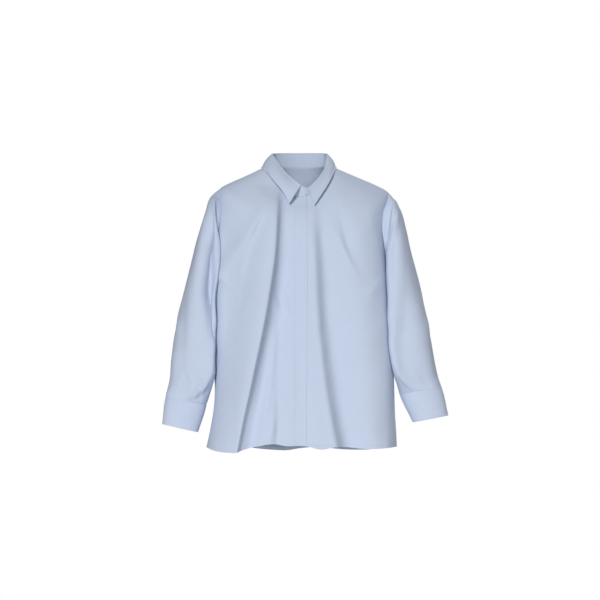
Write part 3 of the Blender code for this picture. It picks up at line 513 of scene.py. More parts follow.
def torso_form(turn, level):
    """The torso's smooth form. turn is in degrees: 0 front, 90 the wearer's left, 180 back, -90 right."""
    names = TORSO[0]._fields[1:]
    ring = dict(zip(names, curves(TORSO, "level", names, level)))
    angle = np.radians(turn)
    sine, cosine = np.sin(angle), np.cos(angle)
    bulge = 1.0 + ring["square"] * np.sin(2.0 * angle) ** 2
    width = np.where(sine > 0, ring["left"], ring["right"])
    depth = np.where(cosine > 0, ring["front"], ring["back"])
    side_z = np.where(sine > 0, ring["left_z"], ring["right_z"])
    middle_z = np.where(cosine > 0, ring["front_z"], ring["back_z"])
    x = width * sine * bulge * (ring["chest"] + (1.0 - ring["chest"]) * sine ** 4)
    return x, -depth * cosine * bulge, side_z + (middle_z - side_z) * cosine ** 2


def torso_surface(turn, level):
    """The outside of the torso's cloth, with its folds and its hem, as an array of points."""
    turn, level = np.broadcast_arrays(turn, level)
    x, y, z = torso_form(turn, level)
    cosine = np.cos(np.radians(turn))
    front = cosine > 0
    rise = np.empty_like(x)
    for part, folds, creases in ((front, FRONT_FOLDS, FRONT_CREASES), (~front, BACK_FOLDS, BACK_CREASES)):
        rise[part] = fold_rise(folds, x[part], z[part]) + crease_rise(creases, x[part], z[part])
    rise = (rise + ripple(x, z, BODY_WAVES)) * ease(np.abs(cosine) / SIDE_FADE)
    hang = np.where(front, *curves(HEM, "x", ("front", "back"), x)) * (1.0 - ease(level / HEM_REACH))
    out_x, out_y = x / FOLD_WIDTH ** 2, y / FOLD_DEPTH ** 2
    steep = np.hypot(out_x, out_y) + 1e-12
    leaning = np.where(front, 1.0 - ease((np.abs(x) - LEAN_X) / LEAN_FADE), 0.0)
    across = out_x / steep * (1.0 - leaning) + FOLD_LEAN * leaning
    ahead = out_y / steep * (1.0 - leaning) - leaning
    return np.stack((x + across * rise, y + ahead * rise, z + hang), axis=-1)


def torso_normals(turn, level):
    """Unit normals of the torso's surface, from its slopes."""
    turn, level = np.broadcast_arrays(turn, level)
    level = np.clip(level, LEVEL_STEP, 1.0 - LEVEL_STEP)
    around = torso_surface(turn + TURN_STEP, level) - torso_surface(turn - TURN_STEP, level)
    upward = torso_surface(turn, level + LEVEL_STEP) - torso_surface(turn, level - LEVEL_STEP)
    return unit(np.cross(around, upward))


def turn_at_x(x, level):
    """The turn at which the front of a ring crosses the given x."""
    left, right, chest = curves(TORSO, "level", ("left", "right", "chest"), level)
    return np.degrees(np.arcsin(x / np.where(x > 0, left, right) / chest))


def armhole_turn(level, reach):
    """How far the armhole's edge lies from the side of the torso, in degrees."""
    return reach * np.sqrt(np.clip(1.0 - ((level - ARMHOLE_MIDDLE) / ARMHOLE_HALF) ** 2, 0.0, 1.0))


def grid_normals(grid):
    """Unit normals of a grid of points (rows, columns, xyz)."""
    return unit(np.cross(np.gradient(grid, axis=1), np.gradient(grid, axis=0)))


def ring_normals(grid, side):
    """Unit normals of a ring grid (rows, turns, xyz), pointing out of the tube."""
    around = np.roll(grid, -1, axis=1) - np.roll(grid, 1, axis=1)
    return unit(np.cross(around, np.gradient(grid, axis=0)) * side)


# ---- building cloth

def place(name, data):
    """A new object in the scene."""
    made = bpy.data.objects.new(name, data)
    bpy.context.scene.collection.objects.link(made)
    return made


def mesh_from(shape, name, finish=None):
    """A mesh that takes over a bmesh."""
    mesh = bpy.data.meshes.new(name)
    shape.to_mesh(mesh)
    shape.free()
    if finish:
        mesh.materials.append(finish)
    return mesh


def grid_uv(grid, closed):
    """Distances in metres across and down a grid; a closed grid has one more column."""
    if closed:
        grid = np.concatenate((grid, grid[:, :1]), axis=1)
    across = travel(grid, 1)
    middle = grid.shape[1] // 2
    return np.stack((across - across[:, middle:middle + 1], travel(grid, 0)), axis=-1) * MM


def add_cloth(name, outer, inner, finish, closed=False):
    """A shell between two grids of points, with rounded edges; closed joins the last column to the first."""
    rows, columns = outer.shape[:2]
    uv = grid_uv(outer, closed)
    row, column = np.meshgrid(np.arange(rows - 1), np.arange(uv.shape[1] - 1), indexing="ij")
    corners = ((row, column), (row, column + 1), (row + 1, column + 1), (row + 1, column))
    index = np.stack([r * columns + c % columns for r, c in corners], axis=-1).reshape(-1, 4)
    places = np.stack([uv[r, c] for r, c in corners], axis=-2).reshape(-1, 4, 2)
    far = rows * columns
    points = [outer.reshape(-1, 3), inner.reshape(-1, 3)]
    faces = [index, far + index[:, ::-1]]
    loops = [places, places[:, ::-1]]

    def add_rim(edge, outward, edge_uv):
        """Closes the shell along an edge, whose points come in the faces' order, with a half-round."""
        first, second = points[0][edge], points[1][edge]
        rim = sum(len(part) for part in points) + np.arange(len(edge))
        thick = np.linalg.norm(first - second, axis=-1, keepdims=True)
        points.append((first + second) / 2 + outward * thick * RIM_BULGE)
        after, rim_after = np.roll(edge, -1), np.roll(rim, -1)
        faces.append(np.stack((after, edge, rim, rim_after), axis=-1))
        faces.append(np.stack((rim_after, rim, far + edge, far + after), axis=-1))
        a, b = edge_uv[:-1], edge_uv[1:]
        loops.extend([np.stack((b, a, a, b), axis=-2)] * 2)

    ahead = unit(np.stack((outer[0] - outer[1], outer[-1] - outer[-2])))
    if closed:
        ring = np.arange(columns)
        add_rim(ring, ahead[0], uv[0])
        add_rim(far - 1 - ring, ahead[1][::-1], uv[-1][::-1])
    else:
        # Once round the grid, from its first point along its first row.
        sides = (columns - 1, rows - 1) * 2
        steps = np.repeat(((0, 1), (1, 0), (0, -1), (-1, 0)), sides, axis=0)
        r, c = (np.cumsum(steps, axis=0) - steps).T
        outward = np.zeros_like(outer)
        outward[[0, -1]] += ahead
        outward[:, [0, -1]] += unit(np.stack((outer[:, 0] - outer[:, 1], outer[:, -1] - outer[:, -2]), axis=1))
        add_rim(r * columns + c, unit(outward[r, c]), uv[np.append(r, r[0]), np.append(c, c[0])])
    return add_mesh(name, np.concatenate(points), np.concatenate(faces), np.concatenate(loops), finish)


def add_mesh(name, points, faces, loops, finish):
    """A mesh object from points in millimetres, quads and their places on the cloth."""
    mesh = bpy.data.meshes.new(name)
    mesh.from_pydata((points * MM).tolist(), [], faces.tolist())
    mesh.uv_layers.new(name="cloth").data.foreach_set("uv", loops.reshape(-1))
    quads = points[faces] - points.mean(axis=0)
    if sum((quads[:, 0] * np.cross(quads[:, k], quads[:, k + 1])).sum() for k in (1, 2)) < 0:
        mesh.flip_normals()
    mesh.shade_smooth()
    mesh.set_sharp_from_angle(angle=math.radians(CLOTH_ANGLE))
    mesh.materials.append(finish)
    return place(name, mesh)


def seam_dip(distance):
    """How far cloth lies under its own surface at a distance from a seam."""
    return np.interp(distance + SEAM_GAP, SEAM_STEPS, SEAM_DIPS)


def spaced(first, last, count, near_first, near_last):
    """count + 1 places from first to last on each row, with further ones at near_... from the two ends."""
    start, stop = first + near_first[..., -1], last - near_last[..., -1]
    share = np.linspace(0.0, 1.0, count + 1)[1:-1]
    even = start[..., None] + (stop - start)[..., None] * share
    return np.concatenate((first[..., None] + near_first, even, last[..., None] - near_last[..., ::-1]), axis=-1)


def shares(count, steps, length, start=None):
    """Shares of a length from 0 to 1, with further ones at steps from its ends; start replaces the first."""
    near = np.array(steps) / length
    return spaced(np.array(0.0), np.array(1.0), count, near if start is None else np.array(start), near)


def torso_levels():
    """Rows: close at the turned-up hem, even up the body, and spaced round the armhole's oval."""
    hem = np.array(HEM_STEPS) * LEVEL_PER_MM
    body = np.linspace(hem[-1], UNDERARM_LEVEL, BODY_ROWS + 1)
    oval = ARMHOLE_MIDDLE - ARMHOLE_HALF * np.cos(np.linspace(0.0, math.pi, ARMHOLE_ROWS + 1))
    shoulder = np.linspace(SHOULDER_LEVEL, 1.0, SHOULDER_ROWS + 1)
    return np.concatenate((hem[:-1], body, oval[1:], shoulder[1:]))


def turns_per_mm(turn, level):
    """How far the turn goes in a millimetre along the cloth."""
    ahead, behind = (np.stack(torso_form(turn + step, level), axis=-1) for step in (TURN_STEP, -TURN_STEP))
    return 2.0 * TURN_STEP / np.linalg.norm(ahead - behind, axis=-1)


def panel_turns(first, last, levels, count, steps_first=SEAM_STEPS, steps_last=SEAM_STEPS):
    """A panel's turns (level, column), with columns close to its two edges."""
    ways = np.sign(last - first)
    near_first = np.array(steps_first) * (turns_per_mm(first, levels) * ways)[:, None]
    near_last = np.array(steps_last) * (turns_per_mm(last, levels) * ways)[:, None]
    return spaced(first, last, count, near_first, near_last)


def edge_distance(grid):
    """Distances along the cloth from a grid's first and last columns."""
    from_first = travel(grid, 1)
    return from_first, from_first[:, -1:] - from_first


def pull_in(grid, distance, rows=(), columns=()):
    """Moves edges of a grid (0 the first, -1 the last) back along the cloth, to leave a seam's gap."""
    grid = grid.copy()
    for lines, edges in ((grid, rows), (grid.swapaxes(0, 1), columns)):
        for edge in edges:
            along = lines[-2 if edge else 1] - lines[edge]
            length = np.linalg.norm(along, axis=-1, keepdims=True)
            lines[edge] += along / (length + 1e-9) * np.minimum(distance, PULL_SHARE * length)
    return grid


def torso_panel(name, levels, turns, finish, inset, thick, seams):
    """A piece of the torso, inset under its surface; seams is how much of a seam's dip its two sides show."""
    form = torso_surface(turns, levels[:, None])
    out = torso_normals(turns, levels[:, None])
    first, last = edge_distance(form)
    height = levels / LEVEL_PER_MM
    turned = 1.0 - ease((height - HEM_DEPTH) / HEM_STEP + 0.5)
    wall = thick + (DOUBLE - thick) * turned
    dip = seams[0] * seam_dip(first) + seams[1] * seam_dip(last)
    outer = form - out * (dip + bell(height - HEM_STITCHES, HEM_DRAW)[:, None] + inset)[..., None]
    outer = pull_in(outer, NECK_PULL, rows=(-1,))
    outer = pull_in(outer, SEAM_PULL, columns=[edge for edge, seam in zip((0, -1), seams) if seam])
    return add_cloth(name, outer, outer - out * wall[:, None, None], finish)


# ---- body

def underlap(x):
    """How far the left front and the stand's left end lie under the surface at x."""
    return UNDERLAP_DEPTH * (1.0 - ease((x - PLACKET_OUTER_X) / UNDERLAP_BLEND))


def build_body(finish, fused):
    levels = torso_levels()
    side = armhole_turn(levels, ARMHOLE_REACH_FRONT)
    reach = armhole_turn(levels, ARMHOLE_REACH_BACK)
    inner, free = turn_at_x(PLACKET_INNER_X, levels), turn_at_x(PLACKET_OUTER_X, levels)
    right = panel_turns(inner, side - 90.0, levels, FRONT_COLUMNS)
    back = panel_turns(90.0 + reach, 270.0 - reach, levels, BACK_COLUMNS)
    under = panel_turns(inner, free, levels, PLACKET_COLUMNS, SEAM_STEPS, EDGE_STEPS)
    beyond = panel_turns(under[:, -1], 90.0 - side, levels, FRONT_COLUMNS, UNDER_STEPS)
    left = np.concatenate((under, beyond[:, 1:]), axis=1)
    inset = underlap(torso_form(left, levels[:, None])[0])
    panels = (
        ("front_right", right, finish, 0.0, CLOTH, (PLACKET_SEAM, 1.0)),
        ("fly_placket", under, fused, 0.0, DOUBLE, (PLACKET_SEAM, 0.0)),
        ("back", back, finish, 0.0, CLOTH, (1.0, 1.0)),
        ("front_left", left, finish, inset, CLOTH, (0.0, 1.0)),
    )
    return {name: torso_panel(name + "_cloth", levels, *sizes) for name, *sizes in panels}


def torso_tree():
    """The torso's outside, to measure distances from."""
    turn = np.linspace(0.0, 360.0, TREE_TURNS + 1)
    level = np.linspace(0.0, 1.0, TREE_LEVELS + 1)
    points = torso_surface(turn[None, :], level[:, None]).reshape(-1, 3)
    width = TREE_TURNS + 1
    starts = [row * width + column for row, column in product(range(TREE_LEVELS), range(TREE_TURNS))]
    faces = [(a, a + 1, a + width + 1, a + width) for a in starts]
    return BVHTree.FromPolygons([Vector(point) for point in points], faces)


def in_armhole(face):
    """Whether a face of the torso's tree lies in an armhole, where there is no cloth."""
    row, column = divmod(face, TREE_TURNS)
    turn = (column + 0.5) * 360.0 / TREE_TURNS
    reach = ARMHOLE_REACH_FRONT if turn < 90.0 or turn > 270.0 else ARMHOLE_REACH_BACK
    from_side = abs(90.0 - min(turn, 360.0 - turn))
    return from_side < armhole_turn((row + 0.5) / TREE_LEVELS, reach) - ARMHOLE_MARGIN


def lift_off(grid, tree, clearance):
    """Moves points of a grid out to a clearance from the tree's surface."""
    lifted = grid.copy()
    clearance = np.broadcast_to(clearance, grid.shape[:2])
    for at in np.ndindex(grid.shape[:2]):
        point = Vector(grid[at])
        nearest, normal, face, _ = tree.find_nearest(point)
        height = (point - nearest).dot(normal)
        if height < clearance[at] and not in_armhole(face):
            lifted[at] = point + normal * (clearance[at] - height)
    return lifted


# ---- sleeves and cuffs

def armhole_loop(side, turn):
    """The armhole's seam on the torso: turn 0 is the shoulder tip, 90 the front, 180 the underarm."""
    sine = np.sin(np.radians(turn))
    reach = np.where(sine > 0, ARMHOLE_REACH_FRONT, ARMHOLE_REACH_BACK)
    return side * (90.0 - reach * sine), ARMHOLE_MIDDLE + ARMHOLE_HALF * np.cos(np.radians(turn))


def ring_points(side, rings, turn, square=0.0):
    """Points (ring, turn, xyz); square fills out a ring between outer side and front, less at the wrist."""
    angle = np.radians(turn)
    sine, cosine = np.sin(angle)[..., None], np.cos(angle)[..., None]
    corner = np.clip(np.sin(2.0 * angle), 0.0, 1.0)[..., None] * (sine > 0)
    found = []
    for ring in rings:
        under = np.array((side * ring.under_x, 0.0, ring.under_z))
        outer = np.array((side * ring.outer_x, 0.0, ring.outer_z))
        middle = (under + outer) / 2 + np.array((0.0, -ring.forward, 0.0))
        ahead = np.array((0.0, -ring.half_depth, 0.0))
        inward = np.array((-side * ring.lean, 0.0, 0.0))
        bulge = 1.0 + square * (1.0 - ease((ring.along - SQUARE_END) / (1.0 - SQUARE_END))) * corner ** 2
        point = middle + (cosine * (outer - under) / 2 + sine * ahead) * bulge
        found.append(point + ((1.0 + sine) / 2) ** LEAN_POWER * inward)
    return np.array(found)


def in_ring_plane(out, side, ring):
    """Normals laid into the plane of a ring, so that the pieces that meet there end flat."""
    across = (side * (ring.outer_x - ring.under_x), 0.0, ring.outer_z - ring.under_z)
    axis = unit(np.cross(across, (0.0, -ring.half_depth, 0.0)))
    return unit(out - (out @ axis)[:, None] * axis)


def sleeve_rise(creases, waves, turn, along):
    """How far a sleeve's creases lift its cloth."""
    down = -along * SLEEVE_LENGTH
    rise = ripple(np.sin(np.radians(turn)) * SLEEVE_RADIUS, down, waves)
    for crease in creases:
        apart = (turn - crease.x1 + 180.0) % 360.0 - 180.0
        rise += crease_rise((crease,), crease.x1 + apart, down)
    return rise * ease(along / CREASE_START) * ease((1.0 - along) / CREASE_END)


def build_sleeve(name, side, rings, creases, waves, tree, finish):
    turn = np.arange(SLEEVE_COLUMNS) * 360.0 / SLEEVE_COLUMNS
    along = shares(SLEEVE_ROWS, SEAM_STEPS, SLEEVE_LENGTH)
    loop = armhole_loop(side, turn)
    tube = np.concatenate((torso_surface(*loop)[None], ring_points(side, rings, turn, SLEEVE_SQUARE)))
    form = smooth([0.0, *field(rings, "along")], tube, along)
    turns, alongs = np.meshgrid(turn, along)
    form = form + ring_normals(form, side) * sleeve_rise(creases, waves, turns, alongs)[..., None]
    form = lift_off(form, tree, SLEEVE_CLEAR * ease(alongs / CLEAR_START))
    out = ring_normals(form, side)
    share = ease(np.cos(np.radians(turn)) + 0.5)[:, None]
    near = slice(len(SEAM_STEPS))
    out[near] = unit(share * torso_normals(*loop) + (1.0 - share) * out[near])
    out[-1] = in_ring_plane(out[-1], side, rings[-1])
    tuck = CUFF_TUCK * (1.0 - ease((1.0 - along) * SLEEVE_LENGTH / TUCK_REACH))
    outer = form - out * (seam_dip(along * SLEEVE_LENGTH) + tuck)[:, None, None]
    outer = pull_in(outer, CLOTH / 2 + SEAM_GAP, rows=(0, -1))
    return add_cloth(name, outer, outer - out * CLOTH, finish, closed=True)


def cuff_grids(side, rings):
    """Points, normals, turns and edge distances of a cuff: a band whose last stretch lies on its first."""
    start = CUFF_OPENING - CUFF_OVERLAP / 2
    turn = np.linspace(start, start + 360.0 + CUFF_OVERLAP, CUFF_COLUMNS + 1)
    depth = rings[0].outer_z - rings[1].outer_z
    share = shares(CUFF_ROWS, EDGE_STEPS, depth)
    form = smooth(field(rings, "along"), ring_points(side, rings, turn), share)
    out = grid_normals(form) * side
    out = np.array([in_ring_plane(row, side, rings[int(part >= 0.5)]) for row, part in zip(out, share)])
    lift = CUFF_LIFT * ease((turn - start - 360.0) / CUFF_OVERLAP + 1.0)
    edge = np.minimum(share, 1.0 - share) * depth
    bow = CUFF_BOW * np.sin(math.pi * share) + CUFF_SKEW * np.sin(2.0 * math.pi * share)
    uneven = CUFF_WAVE * np.sin(np.radians(turn * 3.0 + side * CUFF_TURN))
    rise = lift + uneven + (bow - bell(edge - EDGE_STITCH, CUFF_DRAW) + CUFF_PROUD)[:, None]
    return form + out * rise[..., None], out, turn, edge


# ---- buttons

def lathe(profile, sides):
    """A mesh turned from (radius, height) pairs, closed at both ends."""
    shape = bmesh.new()
    turns = [2.0 * math.pi * number / sides for number in range(sides)]
    rings = [
        [shape.verts.new((radius * math.cos(turn), radius * math.sin(turn), height)) for turn in turns]
        for radius, height in profile
    ]
    for low, high in zip(rings, rings[1:]):
        for here in range(sides):
            after = (here + 1) % sides
            shape.faces.new((low[here], low[after], high[after], high[here]))
    shape.faces.new(rings[0][::-1])
    shape.faces.new(rings[-1])
    return shape


def build_button(name, seat, axis, finish):
    """A button with four holes, its back at seat and its face along axis."""
    radius, thick = BUTTON_RADIUS * MM, BUTTON_THICKNESS * MM
    profile = [(radius * share, thick * height) for share, height in BUTTON_PROFILE]
    made = place(name, mesh_from(lathe(profile, BUTTON_SIDES), name))
    drills = []
    for across, down in product((-1, 1), repeat=2):
        hole = lathe([(HOLE_RADIUS * MM, height * thick) for height in (-1, 2)], HOLE_SIDES)
        drill = place("drill", mesh_from(hole, "drill"))
        drill.location = (across * HOLE_PITCH * MM, down * HOLE_PITCH * MM, 0.0)
        cut = made.modifiers.new("hole", "BOOLEAN")
        cut.operation, cut.solver, cut.object = "DIFFERENCE", "EXACT", drill
        drills.append(drill)
    bpy.context.view_layer.update()
    made.data = bpy.data.meshes.new_from_object(made.evaluated_get(bpy.context.evaluated_depsgraph_get()))
    made.modifiers.clear()
    for drill in drills:
        bpy.data.objects.remove(drill, do_unlink=True)
    made.data.shade_smooth()
    made.data.set_sharp_from_angle(angle=math.radians(BUTTON_ANGLE))
    made.data.materials.clear()
    made.data.materials.append(finish)
    made.matrix_world = Matrix.Translation(seat * MM) @ axis.to_track_quat("Z", "Y").to_matrix().to_4x4()
    return made


def add_button(name, grids, finish, thread):
    """The cuff's button on its overlap, with the thread that holds it."""
    outer, out, turn, edge = grids
    column = len(turn) - 1 - round(BUTTON_COLUMN_SHARE * CUFF_COLUMNS)
    row = len(edge) // 2
    axis = Vector(out[row, column])
    seat = Vector(outer[row, column]) + axis * BUTTON_SEAT
    face = seat + axis * (BUTTON_THICKNESS - BUTTON_DISH)
    across = Vector(outer[row, column + 1] - outer[row, column - 1]).normalized()
    down = axis.cross(across).normalized()
    half = across * (HOLE_PITCH + 0.5)
    middles = [face + down * (HOLE_PITCH * part) for part in (-1, 1)]
    lines = [[np.array(spot) for spot in (middle - half, middle + half, axis)] for middle in middles]
    bars = add_stitches(name + "_thread", lines, thread, radius=BAR_RADIUS, arch=BAR_ARCH)
    return build_button(name + "_moulded", seat, axis, finish), bars


# ---- collar

def stations(column):
    """The collar table's places on the fold or on the edge."""
    return np.stack([field(COLLAR, column + axis) for axis in "xyz"], axis=-1)


def fold_line(about):
    """Places on the collar's fold at turns about the neck, closed to a ring for the stand's front."""
    turns = field(COLLAR, "round")
    turns = np.concatenate((turns - 360.0, turns, turns + 360.0))
    return smooth(turns, np.tile(stations("fold_"), (3, 1)), about)


def neck_frame(about):
    """The neck seam, the fold, and the stand's upward and outward directions."""
    seam = torso_surface(-about, 1.0)
    fold = fold_line(about)
    up = unit(fold - seam)
    out = unit(np.cross(up, fold_line(about + 1.0) - fold_line(about - 1.0)))
    # The left half runs under the right one towards the front middle, as the left front does.
    inset = np.where(about > 270.0, underlap(seam[:, 0]), 0.0)[:, None]
    # Past the placket its base follows the left front's neckline.
    beyond = ease((seam[:, 0] - PLACKET_OUTER_X) / STAND_CORNER)[:, None]
    base = unit(out * (1.0 - beyond) + torso_normals(-about, 1.0) * beyond)
    return seam - base * inset, fold - out * inset, up, out


def build_stand(finish):
    right_end, left_end = (-turn_at_x(x, 1.0) for x in (PLACKET_OUTER_X, PLACKET_INNER_X))
    radius = TORSO[-1].front
    quarter = np.linspace(0.0, math.pi / 2, CORNER_STEPS)
    corner = np.degrees(STAND_CORNER / radius) * (1.0 - np.cos(quarter))
    middle = np.linspace(right_end + corner[-1], left_end + 360.0 - corner[-1], NECK_COLUMNS)
    about = np.concatenate((right_end + corner[:-1], middle, left_end + 360.0 - corner[:-1][::-1]))
    seam, fold, up, out = neck_frame(about)
    top = fold - up * STAND_FOLD_DROP
    height = np.linalg.norm(top - seam, axis=-1)
    from_end = np.radians(np.minimum(about - about[0], about[-1] - about)) * radius
    inside = 1.0 - np.clip(from_end / STAND_CORNER, 0.0, 1.0)
    share = 1.0 - STAND_CORNER / height * (1.0 - np.sqrt(1.0 - inside ** 2))
    rows = shares(STAND_ROWS, EDGE_STEPS, STAND_HEIGHT)
    outer = seam + (top - seam) * share[:, None] * rows[:, None, None]
    outer = pull_in(outer, STAND_PULL, rows=(0,))
    return add_cloth("collar_stand_cloth", outer, outer - out * DOUBLE, finish)


def collar_grid(tree):
    """The collar's upper side: up from the stand, over its fold and down to its free edge."""
    steps = np.array(EDGE_STEPS + STITCH_STEPS)
    ends = np.array(COLLAR[0].round), np.array(COLLAR[-1].round)
    about = spaced(*ends, NECK_COLUMNS, steps / COLLAR_STRETCH, steps / COLLAR_STRETCH)
    _, fold, up, out = neck_frame(about)
    edge = smooth(field(COLLAR, "round"), stations("edge_"), about)
    inner = fold - out * WALL
    rows = [inner - up * (STAND_FOLD_DROP - 0.5)]
    for angle in np.linspace(0.0, math.pi, ROLL_STEPS + 1):
        rows.append(inner + (out * (1.0 - math.cos(angle)) - up * (1.0 - math.sin(angle))) * COLLAR_ROLL)
    start, fall = rows[-1], len(rows)
    bow = unit(np.cross(start - edge, np.gradient(fold, axis=0)))
    length = np.linalg.norm(edge - start, axis=-1).mean()
    for share in shares(FALL_ROWS, steps, length, (0.0,))[1:]:
        rows.append(start + (edge - start) * share + bow * COLLAR_BULGE * math.sin(math.pi * share))
    outer = np.array(rows)
    outer[fall:] = lift_off(outer[fall:], tree, WALL + COLLAR_LIFT)
    return outer, fall


def build_collar(tree, finish):
    """The collar's cloth, and the stitches round its free edge."""
    outer, fall = collar_grid(tree)
    normal = grid_normals(outer)
    first, last = edge_distance(outer)
    down = travel(outer[::-1], 0)[::-1]
    drawn = bell(np.minimum(np.minimum(first, last), down) - EDGE_STITCH, COLLAR_DRAW)
    drawn[:fall] = 0.0
    outer = outer - normal * drawn[..., None]
    made = add_cloth("collar_cloth", outer, outer - normal * DOUBLE, finish)
    return made, collar_line(outer, normal, fall)


# ---- stitches

def add_stitches(name, lines, finish, radius=STITCH_RADIUS, arch=STITCH_ARCH):
    """Short arched threads, each from a start to an end, with the cloth's outward direction."""
    start, end, out = (np.array(part) for part in zip(*lines))
    along = end - start
    out = unit(out - unit(along) * (out * unit(along)).sum(axis=-1, keepdims=True))
    across = np.cross(unit(along), out)
    rings = []
    for (share, size), number in product(STITCH_PROFILE, range(STITCH_SIDES)):
        angle = 2.0 * math.pi * number / STITCH_SIDES
        middle = start + along * share + out * (arch * (math.sin(math.pi * share) - 0.5))
        rings.append(middle + (across * math.cos(angle) + out * math.sin(angle)) * radius * size)
    points = np.stack(rings, axis=1)
    first = range(STITCH_SIDES)
    last = len(rings) - STITCH_SIDES
    faces = [first[::-1], range(last, len(rings))]
    for ring, number in product(range(0, last, STITCH_SIDES), first):
        a, b = ring + number, ring + (number + 1) % STITCH_SIDES
        faces.append((a, b, b + STITCH_SIDES, a + STITCH_SIDES))
    shape = bmesh.new()
    for each in points:
        verts = [shape.verts.new(point * MM) for point in each]
        for face in faces:
            shape.faces.new([verts[index] for index in face])
    bmesh.ops.recalc_face_normals(shape, faces=shape.faces)
    mesh = mesh_from(shape, name, finish)
    mesh.shade_smooth()
    return place(name, mesh)


def stitch_line(path, out):
    """Stitches along a path, with the cloth's outward direction at each point."""
    way = travel(path, 0)
    starts = 1.0 + np.arange(int((way[-1] - 2.0) / STITCH_PITCH)) * STITCH_PITCH

    def at(values, where):
        return np.stack([np.interp(where, way, values[:, axis]) for axis in range(3)], axis=-1)

    ends = starts + STITCH_LENGTH
    return list(zip(at(path, starts), at(path, ends), at(out, (starts + ends) / 2)))


def edge_line(distance, *grids):
    """The place on each row of some grids where the distance from an edge is the stitches'."""
    found = []
    for row, away in enumerate(distance):
        low, part = divmod(np.interp(EDGE_STITCH, away, np.arange(len(away))), 1.0)
        found.append([grid[row, int(low)] * (1.0 - part) + grid[row, int(low) + 1] * part for grid in grids])
    return np.array(found)


def cuff_line(grids):
    """Stitches along both long edges of a cuff."""
    outer, out, turn, edge = grids
    half = len(edge) // 2
    lines = []
    for way in (1, -1):
        away = np.tile(edge[::way][:half], (len(turn), 1))
        places, ways = edge_line(away, *(grid[::way].swapaxes(0, 1) for grid in (outer, out))).swapaxes(0, 1)
        lines += stitch_line(places - ways * CUFF_SUNK, ways)
    return lines


def torso_line(turn, level, depth):
    """Stitches along turns and levels of the torso, set into its surface."""
    out = torso_normals(turn, level)
    return stitch_line(torso_surface(turn, level) - out * depth, out)


def collar_line(outer, normal, fall):
    """Stitches round the collar's free edge: down its right end, along its edge and up its left end."""
    first, last = edge_distance(outer)
    down = travel(outer[::-1], 0)[::-1]
    grids = outer, normal, np.broadcast_to(down[..., None], outer.shape)
    right = edge_line(first, *grids)[fall:]
    left = edge_line(last[:, ::-1], *(grid[:, ::-1] for grid in grids))[fall:][::-1]
    middle = edge_line(down[::-1].T, *(grid[::-1].swapaxes(0, 1) for grid in grids))
    middle = middle[np.minimum(first[-1], last[-1]) >= EDGE_STITCH]
    path = [part[part[:, 2, 0] > EDGE_STITCH] for part in (right, left)]
    path = np.concatenate((path[0], middle, path[1]))
    return stitch_line(path[:, 0], path[:, 1])


# ---- materials

class Material:
    """A material and its nodes, built by name."""

    def __init__(self, name, colour, roughness, **inputs):
        self.made = bpy.data.materials.new(name)
        self.made.use_nodes = True
        self.made.diffuse_color = self.colour = colour
        self.tree = self.made.node_tree
        self.shader = self.tree.nodes["Principled BSDF"]
        self.set(Base_Color=colour, Roughness=roughness, **inputs)

    def set(self, node=None, **inputs):
        """Sets inputs of a node or the shader by name, with _ for a space, or by number after an i."""
        for name, value in inputs.items():
            key = int(name[1:]) if name[1:].isdigit() else name.replace("_", " ")
            socket = (node or self.shader).inputs[key]
            if isinstance(value, bpy.types.NodeSocket):
                self.tree.links.new(value, socket)
            else:
                socket.default_value = value

    def add(self, kind, output=0, settings=(), **inputs):
        node = self.tree.nodes.new("ShaderNode" + kind)
        for name, value in settings:
            setattr(node, name, value)
        self.set(node, **inputs)
        return node.outputs[output]

    def math(self, operation, first, second):
        return self.add("Math", settings=(("operation", operation),), i0=first, i1=second)

    def tones(self, share, dark, light, low=0.0, high=1.0):
        """The base colour goes from dark to light times itself as share goes from low to high."""
        node = self.tree.nodes.new("ShaderNodeValToRGB")
        for end, position, tone in zip(node.color_ramp.elements, (low, high), (dark, light)):
            end.position = position
            end.color = [min(part * tone, 1.0) for part in self.colour[:3]] + [1.0]
        self.set(node, Fac=share)
        self.set(Base_Color=node.outputs[0])


def broadcloth(name, colour, slack):
    """Plain-woven cotton: a weave on the cloth's own UV, slubs, and small creases as deep as slack."""
    cloth = Material(
        name, colour, 0.78, Sheen_Weight=0.10, Sheen_Roughness=0.45, Sheen_Tint=(0.82, 0.88, 1.0, 1.0),
        Specular_IOR_Level=0.22,
    )
    add, number = cloth.add, cloth.math
    uv = add("UVMap", "UV", (("uv_map", "cloth"),))
    turns = [number("MULTIPLY", add("SeparateXYZ", axis, Vector=uv), math.pi / THREAD_PITCH * pitch)
             for axis, pitch in ((0, 1.0), (1, 0.9))]
    weave = number("MULTIPLY", *(number("SINE", turn, 0.0) for turn in turns))
    slub = number("ADD", *(
        add("TexNoise", Vector=add("Mapping", Vector=uv, Scale=scale), Scale=1.0, Detail=2.0)
        for scale in ((2600.0, 90.0, 1.0), (70.0, 2200.0, 1.0))
    ))
    where = add("TexCoord", "Object")
    crumple = add("TexNoise", Vector=where, Scale=38.0, Detail=3.0, Roughness=0.45)
    dye = add("TexNoise", Vector=where, Scale=9.0, Detail=2.0)
    tone = number("ADD", number("MULTIPLY", slub, 0.5), number("MULTIPLY", weave, 0.16))
    tone = number("ADD", tone, number("MULTIPLY", dye, 0.25))
    cloth.tones(number("SUBTRACT", tone, 0.12), 0.955, 1.045, 0.2, 0.8)
    cloth.set(Roughness=add("MapRange", Value=slub, To_Min=0.70, To_Max=0.86))
    fine = add("Bump", Height=number("ADD", weave, slub), Distance=WEAVE_DEPTH, Strength=0.6)
    cloth.set(Normal=add("Bump", Height=crumple, Distance=slack, Strength=1.0, Normal=fine))
    return cloth.made


